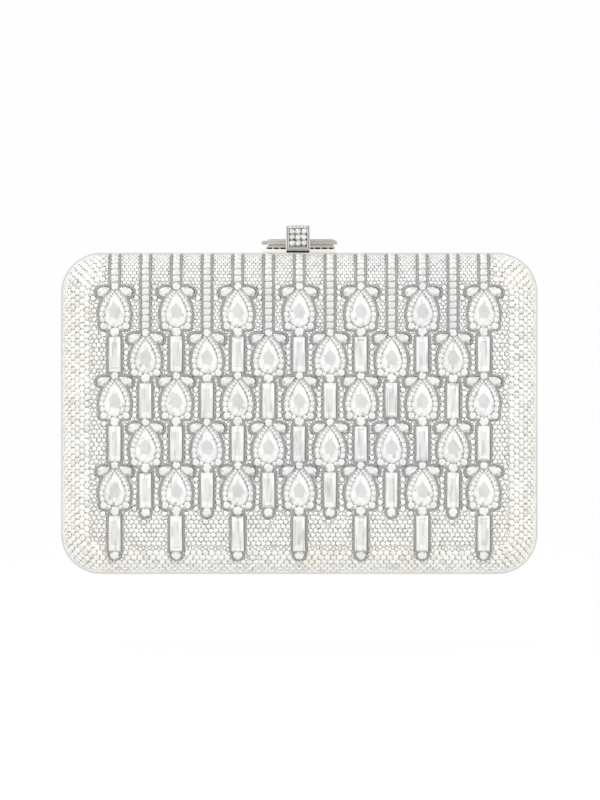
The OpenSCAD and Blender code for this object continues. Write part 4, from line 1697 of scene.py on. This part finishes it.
    def rounds(self) -> None:
        """The round stones: halos, links, apexes, column ends and stems."""
        p, turn = self.pave.pendant, math.pi
        small = Stone.round(10, self.clear, 0.74, 0.17, 1.15)
        bright = Shade(table=0.88, crown=0.97, spread=0.2, dark=0.08, seed=21)
        large = Stone.round(12, bright, 0.6, 0.17, 0.62)
        halo = p.halo()
        parts = (("upper", halo[:3], 41), ("middle", halo[3:6], 42), ("lower", halo[6:], 43))
        for word, picked, seed in parts:
            offsets = [(side * x, z) for x, z, _ in picked for side in (1, -1)]
            sizes = [d / 2 * self.halo_size for _, _, d in picked for _ in (1, -1)]
            spots = self._each(offsets)
            self._set(f"{word}_halo_stones", spots, np.tile(sizes, len(spots) // len(sizes)),
                      self.halo_rise, small, [f"{word}_halo_stones"], seed, turn)
        links, apexes = self._each([(0, -p.link_drop)]), self._each([(0, p.apex_rise)])
        ends = [(column.x, column.end) for column in self.pave.columns]
        for word, spots, size, rise, seed in (
                ("link", links, p.link / 2 * self.round_size, self.link_rise, 44),
                ("apex", apexes, p.apex / 2 * self.round_size, self.apex_rise, 45),
                ("end", ends, p.end / 2 * self.end_size, self.end_rise, 46)):
            self._set(f"{word}_stones", spots, size, rise, large, [f"{word}_stones"], seed, turn)
        files = [(column.x, z) for column in self.pave.columns for z in column.stem_places()]
        plain = Shade(table=0.8, crown=0.9, spread=0.3, dark=0.15, seed=12)
        square = Stone.shaped(oblong(p.stem, p.stem_pitch - 0.04, 0.4), 0.4, 0.4, plain, 0.74)
        self._set("stem_stones", files, 1.0, 0.0, square, ["stem_stones"], 47, math.pi / 60)

    def build(self) -> None:
        """Builds all stones and ribbons of the pattern."""
        self.pears()
        self.leaves()
        self.baguettes()
        self.rounds()
        skin, columns = self.pave.skin, self.pave.columns
        ribbons = [column.ribbon_mesh(skin) for column in columns]
        self.pave.strips("long_ribbons", ribbons[:7], ["long_outlines", "stem_outlines"], self.metal)
        self.pave.strips("short_ribbons", ribbons[7:], ["short_outlines"], self.metal)
        self.pave.strips("column_floors", [column.floor_mesh(skin) for column in columns], [], self.floor)


# Metal work

def polished(name: str, node: str, width: float, segments: int = 2) -> bpy.types.Object:
    """Copy of a CAD node with its triangles joined to faces and its edges rounded.

    Args:
        name: name of the piece.
        node: the CAD node.
        width: width of the rounding in millimetres.
        segments: steps of the rounding.

    Returns:
        The piece.
    """
    piece = linked(name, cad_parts[node].data.copy())
    with editing(piece):
        bpy.ops.mesh.remove_doubles(threshold=1e-6)
        bpy.ops.mesh.dissolve_limited(angle_limit=FLAT_METAL)
    return bevelled(piece, width, segments)


def piping(name: str, skin: Skin, inset: float, deep: float, radius: float) -> bpy.types.Object:
    """Round welt along the rounded outline at one depth.

    Args:
        name: name of the piece.
        skin: the skin whose outline it follows.
        inset: how far inside the skin it runs.
        deep: its depth from the seam.
        radius: its radius.

    Returns:
        The piece.
    """
    wide, tall = skin.half_w - inset, (skin.top - skin.bottom) / 2 - inset
    corner, mid = max(skin.corner - inset, 1.0), (skin.top + skin.bottom) / 2
    depth = skin.side.value * deep
    piece = block(name, (-wide, depth - radius, mid - tall), (wide, depth + radius, mid + tall))
    with editing(piece):
        pick_edges(piece, along_y)
        bpy.ops.mesh.bevel(offset=corner * MM, segments=12, affect="EDGES")
        pick_faces(piece, lambda each: abs(each.normal.y) > 0.9)
        bpy.ops.mesh.delete(type="FACE")
    return bevelled(walled(piece, 2 * radius), radius * 0.9, 4)


@dataclass
class Halves:
    """Frames, shells and linings of the two halves."""

    chrome: bpy.types.Material
    shell: bpy.types.Material
    leather: bpy.types.Material
    piping_leather: bpy.types.Material
    thread: bpy.types.Material
    edge: float = 0.3
    edge_in: float = 0.9
    edge_deep: float = 0.3
    welt: float = 0.55
    lining: float = 1.0
    seam: float = 12.0
    beside: float = 1.6
    floor_welt: float = 0.4
    stitch: float = 2.6

    def build(self) -> None:
        """Builds and dresses the pieces of both halves."""
        for word, body, side in (("rear", Body.REAR, Side.REAR), ("front", Body.FRONT, Side.FRONT)):
            piece = polished(f"{word}_frame_polished", f"{word}_frame", self.edge, 3)
            dress(piece, self.chrome, body, [f"{word}_frame"])
            lining = polished(f"{word}_lining_leather", f"{word}_lining", 0.5, 3)
            dress(lining, self.leather, body, [f"{word}_lining"])
            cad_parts[f"{word}_shell"].data.materials.clear()
            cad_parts[f"{word}_shell"].data.materials.append(self.shell)
            low, high = size_of(f"{word}_lining")
            skin = Skin.of(side)
            inset = skin.half_w - high[0]
            deep = min(abs(low[1]), abs(high[1]))
            welt = piping(f"{word}_lining_piping", skin, inset + self.edge_in, deep + self.edge_deep, self.welt)
            dress(welt, self.piping_leather, body)
            self.seams(word, body, skin, max(abs(low[1]), abs(high[1])) - self.lining)

    def seams(self, word: str, body: Body, skin: Skin, deep: float) -> None:
        """Two rows of stitches and a welt round the lining's flat floor.

        Args:
            word: which half.
            body: what the pieces ride on.
            skin: the skin whose outline they follow.
            deep: depth of the floor from the seam.
        """
        way = skin.side.value
        thread = Stone.shaped(oblong(0.5, self.stitch * 0.7, 0.2), 0.22, 0.1, Shade(), 0.6)
        setting = Setting()
        for inset in (self.seam - self.beside, self.seam + self.beside):
            rows = skin.outline(inset, self.stitch, 0.0)
            places = np.stack([rows[:, 0], np.full(len(rows), way * deep), rows[:, 1]], 1)
            ups = np.stack([-rows[:, 3], np.zeros(len(rows)), rows[:, 2]], 1)
            setting.add(places, np.array([[0.0, -way, 0.0]] * len(rows)), ups, 1.0)
        stitches = setting.build(f"{word}_lining_stitches", thread, 61, 0.05, tilt=0.0, dull=0.0, flash=0.0)
        dress(stitches, self.thread, body)
        welt = piping(f"{word}_lining_welt", skin, self.seam, deep - 0.1, self.floor_welt)
        dress(welt, self.piping_leather, body)


@dataclass
class Hinge:
    """Leaves, pin and rivets along the bottom."""

    plate: bpy.types.Material
    steel: bpy.types.Material
    edge: float = 0.12

    def build(self) -> None:
        """Builds and dresses the hinge's pieces."""
        plan = (("hinge_rear_leaf", Body.REAR, self.plate, "silver_plate"),
                ("hinge_pin", Body.REAR, self.steel, "fastener_steel"),
                ("hinge_rear_rivets", Body.REAR, self.steel, "fastener_steel"),
                ("hinge_front_leaf", Body.FRONT, self.plate, "silver_plate"),
                ("hinge_front_rivets", Body.FRONT, self.steel, "fastener_steel"))
        for node, body, material, slot in plan:
            dress(polished(f"{node}_polished", node, self.edge), material, body, [node])


@dataclass
class Lock:
    """Rail, sliding block and catch on top."""

    silver: bpy.types.Material
    lined: bpy.types.Material
    smoked: bpy.types.Material
    pale_highlight: bpy.types.Material
    # black finish of the pieces that stand for painted shadow
    dark: bpy.types.Material
    steel: bpy.types.Material
    crystal: bpy.types.Material
    head_share: float = 0.47
    grooves: tuple = ((0.16, 0.28), (0.44, 0.56), (0.74, 0.84))
    groove_depth: float = 0.16
    slot_h: float = 0.62
    posts: int = 10
    post: float = 0.35
    neck_half: float = 1.0
    neck_short: float = 0.8
    neck_slant: float = 1.4
    core_half: float = 0.7
    bead: float = 0.22
    bead_rise: float = 0.12
    bead_insets: tuple = (("outer", 0.06), ("inner", 0.74))
    rounding: float = 0.07
    stone_share: float = 0.59
    edge_stone: float = 0.66
    edge_pitch: float = 1.36
    edge_rise: float = 0.62
    joint_room: float = 0.1
    # place of the black strip that stands for the shadow under the block
    shadow_strip_in: float = 0.15
    shadow_strip_deep: tuple = (0.2, 0.6)
    shadow_strip_gap: float = 0.08

    def __post_init__(self) -> None:
        """Reads the rail and the block off the frame."""
        self.low, self.high = size_of("slide_rail")
        self.block_low, self.block_high = size_of("slider_block")
        self.foot = size_of("rail_foot")[1][2]
        self.head = self.foot + (self.high[2] - self.foot) * self.head_share
        self.mid = (self.low[1] + self.high[1]) / 2

    def rail_head(self) -> bpy.types.Object:
        """Head of the rail, drawn out from its grooved section, with slanted ends."""
        left, right, top = self.low[0], self.high[0], self.high[2]
        tall = top - self.head
        outer, inner = self.high[1] - self.mid, self.high[1] - self.mid - self.groove_depth
        side = [(outer, 0.0)]
        for start, end in self.grooves:
            side += [(outer, start), (inner, start), (inner, end), (outer, end)]
        side.append((outer, 1.0))
        section = side + [(-away, share) for away, share in reversed(side)]
        points = [(left * MM, (self.mid + away) * MM, (self.head + tall * share) * MM)
                  for away, share in section]
        mesh = bpy.data.meshes.new("rail_grooved")
        mesh.from_pydata(points, [], [range(len(points))])
        piece = linked("rail_grooved", mesh)
        with editing(piece):
            bpy.ops.mesh.extrude_region_move(TRANSFORM_OT_translate={"value": ((right - left) * MM, 0, 0)})
            bpy.ops.mesh.select_all(action="SELECT")
            bpy.ops.mesh.normals_make_consistent(inside=False)
            for start, lean in ((right - tall * 0.9, 0.45), (left + self.neck_slant, -0.5)):
                bpy.ops.mesh.select_all(action="SELECT")
                bpy.ops.mesh.bisect(plane_co=(start * MM, 0, top * MM), plane_no=(lean, 0, 1),
                                    clear_outer=True, use_fill=True)
        return bevelled(piece, self.rounding)

    def rail_neck(self) -> bpy.types.Object:
        """Slanted neck of the rail, on short posts with slots between them."""
        left, right = self.low[0], self.high[0] - self.neck_short
        back, front, slots = self.mid - self.neck_half, self.mid + self.neck_half, self.foot + self.slot_h
        neck = block("neck", (left, back, slots), (right, front, self.head + self.joint_room))
        for vertex in neck.data.vertices:
            if vertex.co.z > self.head * MM:
                vertex.co.x += (self.neck_slant if vertex.co.x < 0 else -self.neck_short) * MM
        parts = [bevelled(neck, 0.12)]
        centres = np.linspace(left, right, self.posts + 1)
        for centre in np.clip(centres, left + self.post, right - self.post):
            post = block("post", (centre - self.post, back, self.foot - self.joint_room),
                         (centre + self.post, front, slots + 0.2))
            parts.append(bevelled(post, 0.12))
        alone(neck)
        for part in parts:
            part.select_set(True)
        bpy.ops.object.join()
        neck.name = "rail_neck_posts"
        return settle(neck)

    def shadow_parts(self) -> None:
        """Black core behind the neck's slots and a black strip under the front of the block, painted shadow:
        dark pieces that stand for the shade in the slots and in the gap under the block.
        """
        core = block("neck_shadow_core", (self.low[0] + 0.3, self.mid - self.core_half,
                                   self.foot - self.joint_room),
                     (self.high[0] - 1.1, self.mid + self.core_half, self.foot + 0.9))
        dress(bevelled(core, 0.08), self.dark, Body.REAR)
        (left, front, under), right = self.block_low, self.block_high[0]
        seat = size_of("front_frame")[1][2]
        shadow_strip = block("block_shadow_strip", (left + self.shadow_strip_in, front + self.shadow_strip_deep[0], seat + self.shadow_strip_gap),
                     (right - self.shadow_strip_in, front + self.shadow_strip_deep[1], under + 0.2))
        dress(bevelled(shadow_strip, 0.06), self.dark, Body.SLIDER)

    def border(self, name: str, axis: int, way: float, inset: float) -> bpy.types.Object:
        """Thin raised frame round one face of the block.

        Args:
            name: name of the piece.
            axis: axis that the face looks along.
            way: its direction, 1 or -1.
            inset: distance of the frame from the face's edge.

        Returns:
            The piece.
        """
        low, high = self.block_low + inset, self.block_high - inset
        level = (self.block_high if way > 0 else self.block_low)[axis]
        low[axis], high[axis] = level - self.bead_rise, level + self.bead_rise
        piece = block(name, low, high)
        with editing(piece):
            pick_faces(piece, lambda each: abs(each.normal[axis]) > 0.9)
            bpy.ops.mesh.inset(thickness=self.bead * MM)
            bpy.ops.mesh.bridge_edge_loops()
        return bevelled(piece, self.rounding)

    def block_stones(self, stone: Stone) -> None:
        """Nine stones on the block's front and nine on its top, with five along the edge between them.

        Args:
            stone: cut of the stones.
        """
        for node, normal, up in (("slider_front_stones", (0, -1, 0), (0, 0, 1)),
                                 ("slider_top_stones", (0, 0, 1), (0, 1, 0))):
            low, high = size_of(node)
            normal, up = np.array(normal, float), np.array(up, float)
            right = np.cross(up, normal)
            centre = (low + high) / 2
            level = np.where(normal > 0, high, np.where(normal < 0, low, centre))
            size = (np.abs(right) @ (high - low)) / 3
            setting = Setting()
            for i in (-1, 0, 1):
                for j in (-1, 0, 1):
                    spot = level + (right * i + up * j) * (size + 0.04)
                    setting.add(spot, normal, up, size * self.stone_share)
            if node == "slider_front_stones":
                edge = np.array([centre[0], level[1] + 0.1, high[2] + self.edge_rise])
                for k in (-2, -1, 0, 1, 2):
                    setting.add(edge + right * k * self.edge_pitch, normal, up, self.edge_stone)
            dress(setting.build(f"{node}_cut", stone, 51), self.crystal, Body.SLIDER, [node])

    def build(self, stone: Stone) -> None:
        """Builds and dresses the lock.

        Args:
            stone: cut of the block's stones.
        """
        dress(self.rail_head(), self.silver, Body.REAR, ["slide_rail"])
        dress(self.rail_neck(), self.silver, Body.REAR)
        self.shadow_parts()
        # the rail's foot takes the pale silver with its painted highlight
        plan = (("rail_foot", Body.REAR, self.pale_highlight, "silver_plate", 0.35),
                ("rail_end_stop", Body.REAR, self.silver, "silver_plate", 0.25),
                ("rail_screws", Body.REAR, self.steel, "fastener_steel", 0.1),
                ("catch_strike", Body.FRONT, self.silver, "silver_plate", 0.12),
                ("strike_rivets", Body.FRONT, self.steel, "fastener_steel", 0.04),
                ("slider_block", Body.SLIDER, self.smoked, "silver_plate", 0.16),
                ("catch_spring", Body.SLIDER, self.steel, "spring_steel", 0.04),
                ("detent_spring", Body.SLIDER, self.steel, "spring_steel", 0.04),
                ("spring_rivet", Body.SLIDER, self.steel, "fastener_steel", 0.03))
        for node, body, material, slot, width in plan:
            dress(polished(f"{node}_polished", node, width), material, body, [node])
        for name, axis, way in (("front", 1, -1.0), ("top", 2, 1.0), ("left", 0, -1.0), ("right", 0, 1.0),
                                ("back", 1, 1.0)):
            for line, inset in self.bead_insets:
                piece = self.border(f"block_{name}_{line}_bead", axis, way, inset)
                dress(piece, self.lined, Body.SLIDER)
        self.block_stones(stone)


# Studio

@dataclass
class Studio:
    """Camera, lamps, floor and backdrop."""

    centre_x: float = 0.00026
    centre_z: float = 0.065
    plane_y: float = -0.0185
    width: float = 0.223
    distance: float = 3.0
    sensor: float = 36.0
    floor_z: float = -0.028
    floor_size: float = 10.0
    wall_height: float = 4.0
    sweep_radius: float = 0.5
    lamps: tuple = (("key", (-0.9, -1.4, 1.3), (0, 0, 0.06), 0.9, 7.0),
                    ("fill", (1.2, -1.2, 0.7), (0, 0, 0.06), 1.1, 3.5),
                    ("top", (0.1, 0.2, 1.5), (0, 0, 0.1), 1.3, 1.5))

    def camera(self) -> None:
        """Long lens that looks straight at the front."""
        data = bpy.data.cameras.new("camera")
        data.sensor_fit = "HORIZONTAL"
        data.sensor_width = self.sensor
        data.lens = self.sensor * self.distance / self.width
        data.clip_end = 20.0
        piece = linked("camera", data)
        piece.location = (self.centre_x, self.plane_y - self.distance, self.centre_z)
        piece.rotation_euler = (math.pi / 2, 0, 0)
        bpy.context.scene.camera = piece

    @staticmethod
    def lamp(name: str, place: Sequence[float], aim: Sequence[float], size: float, watts: float) -> None:
        """Adds a soft square lamp.

        Args:
            name: name of the lamp.
            place: where it hangs, in metres.
            aim: what it points at.
            size: its side.
            watts: its power.
        """
        data = bpy.data.lights.new(name, "AREA")
        data.size, data.energy = size, watts
        piece = linked(name, data)
        piece.location = place
        way = Vector(aim) - Vector(place)
        piece.rotation_euler = way.to_track_quat("-Z", "Y").to_euler()

    @staticmethod
    def world() -> None:
        """White surroundings of strength 1, for the camera, the reflections and the light."""
        world = bpy.data.worlds.new("surroundings")
        world.use_nodes = True
        tree = world.node_tree
        tree.nodes.clear()
        white = tree.nodes.new("ShaderNodeBackground")
        white.inputs["Color"].default_value = rgb(1, 1, 1)
        white.inputs["Strength"].default_value = 1.0
        out = tree.nodes.new("ShaderNodeOutputWorld")
        tree.links.new(white.outputs["Background"], out.inputs["Surface"])
        bpy.context.scene.world = world

    def sweep(self) -> None:
        """Floor that curves up into a backdrop behind the clutch."""
        alone()
        bpy.ops.mesh.primitive_plane_add(size=self.floor_size, location=(0, 0, self.floor_z))
        floor = bpy.context.object
        floor.name = "floor"
        back = self.floor_size / 2 - 0.1
        with editing(floor):
            pick_edges(floor, lambda a, b: min(a.y, b.y) > back)
            bpy.ops.mesh.extrude_region_move(TRANSFORM_OT_translate={"value": (0, 0, self.wall_height)})
            pick_edges(floor, lambda a, b: min(a.y, b.y) > back and max(a.z, b.z) < 0.01)
            bpy.ops.mesh.bevel(offset=self.sweep_radius, segments=16, affect="EDGES")
            bpy.ops.mesh.select_all(action="SELECT")
            bpy.ops.mesh.normals_make_consistent(inside=True)
        settle(floor)
        smooth(floor, 40)
        floor.data.materials.append(StageFinish("pale_paper").make())

    def build(self) -> None:
        """Sets up camera, world, lamps and floor."""
        self.camera()
        self.world()
        self.sweep()
        for name, place, aim, size, watts in self.lamps:
            self.lamp(name, place, aim, size, watts)
        bpy.context.scene.view_settings.view_transform = "Standard"


def main() -> None:
    """Builds the studio and every piece of the clutch."""
    logging.basicConfig(level=logging.INFO, format="%(message)s")
    Studio().build()
    crystal = CrystalFinish("set_crystal").make()
    faint = {"warm": (1.0, 0.985, 0.965), "cool": (0.965, 0.97, 0.985)}
    clear = CrystalFinish("clear_crystal", **faint).make()
    # streaked crystals: painted reflection streaks over the facets, strong on the baguettes, faint on the pears
    streaked = CrystalFinish("streaked_crystal", **faint, streak=0.24, grain=(900.0, 1.0, 110.0)).make()
    faint_streaked = CrystalFinish("faint_streaked_crystal", **faint, streak=0.08, grain=(300.0, 1.0, 180.0)).make()
    chrome = MetalFinish("polished_silver_plate", (0.74, 0.73, 0.71), 0.2).make()
    silver = MetalFinish("old_silver", (0.56, 0.545, 0.51), 0.28).make()
    smoked = MetalFinish("smoked_silver", (0.38, 0.37, 0.35), 0.3).make()
    lined = MetalFinish("bead_silver", (0.87, 0.855, 0.82), 0.25).make()
    # rail foot's silver: partly the plate's own pale tone, partly a painted highlight of light glaring off its
    # top
    pale_highlight = MetalFinish("cream_silver_painted_highlight", (0.95, 0.93, 0.87), 0.2).make()
    # black finish of the pieces that stand for painted shadow in the lock's slots and under the block
    dark = MetalFinish("painted_shadow_black", (0.03, 0.027, 0.024), 0.8, 0.0).make()
    ribbon = MetalFinish("ribbon_metal", (0.38, 0.38, 0.37), 0.5, 0.7).make()
    floor = MetalFinish("column_floor", (0.85, 0.85, 0.84), 0.4, 0.5).make()
    # the cups' metal is darkened by their painted shade from the facet_shade attribute
    rim = MetalFinish("cup_metal", (0.8, 0.8, 0.79), 0.35, 0.7, facet_shaded=True).make()
    steel = MetalFinish("brushed_steel", (0.62, 0.61, 0.6), 0.34).make()
    shell = MetalFinish("pressed_shell", (0.6, 0.6, 0.6), 0.4).make()
    bed = BedFinish("foil_bed").make()
    leather = LeatherFinish("lining_leather").make()
    welt = LeatherFinish("piping_leather", (0.66, 0.61, 0.52)).make()
    thread = LeatherFinish("lining_thread", (0.92, 0.9, 0.85)).make()
    stone = Stone.round(8, Shade(table=0.95, crown=1.0, spread=0.16, dark=0.1), 0.76, 0.24)
    fine = Stone.round(7, Shade(table=0.95, crown=1.0, spread=0.26, dark=0.12, seed=4), 0.74, 0.24)
    boxed = Stone.round(8, Shade(table=0.88, crown=0.98, spread=0.4, dark=0.25, seed=9), 0.55, 0.22)
    front = FrontPave()
    front.build(stone, fine, crystal, bed)
    Ornament(front, crystal=clear, metal=ribbon, floor=floor, rim=rim, streaked=streaked,
             faint_streaked=faint_streaked).build()
    RearPave().build(stone, crystal, bed)
    Halves(chrome=chrome, shell=shell, leather=leather, piping_leather=welt, thread=thread).build()
    Hinge(plate=silver, steel=steel).build()
    Lock(silver=silver, lined=lined, smoked=smoked, pale_highlight=pale_highlight, dark=dark, steel=steel,
         crystal=crystal).build(boxed)


if __name__ == "__main__":
    main()
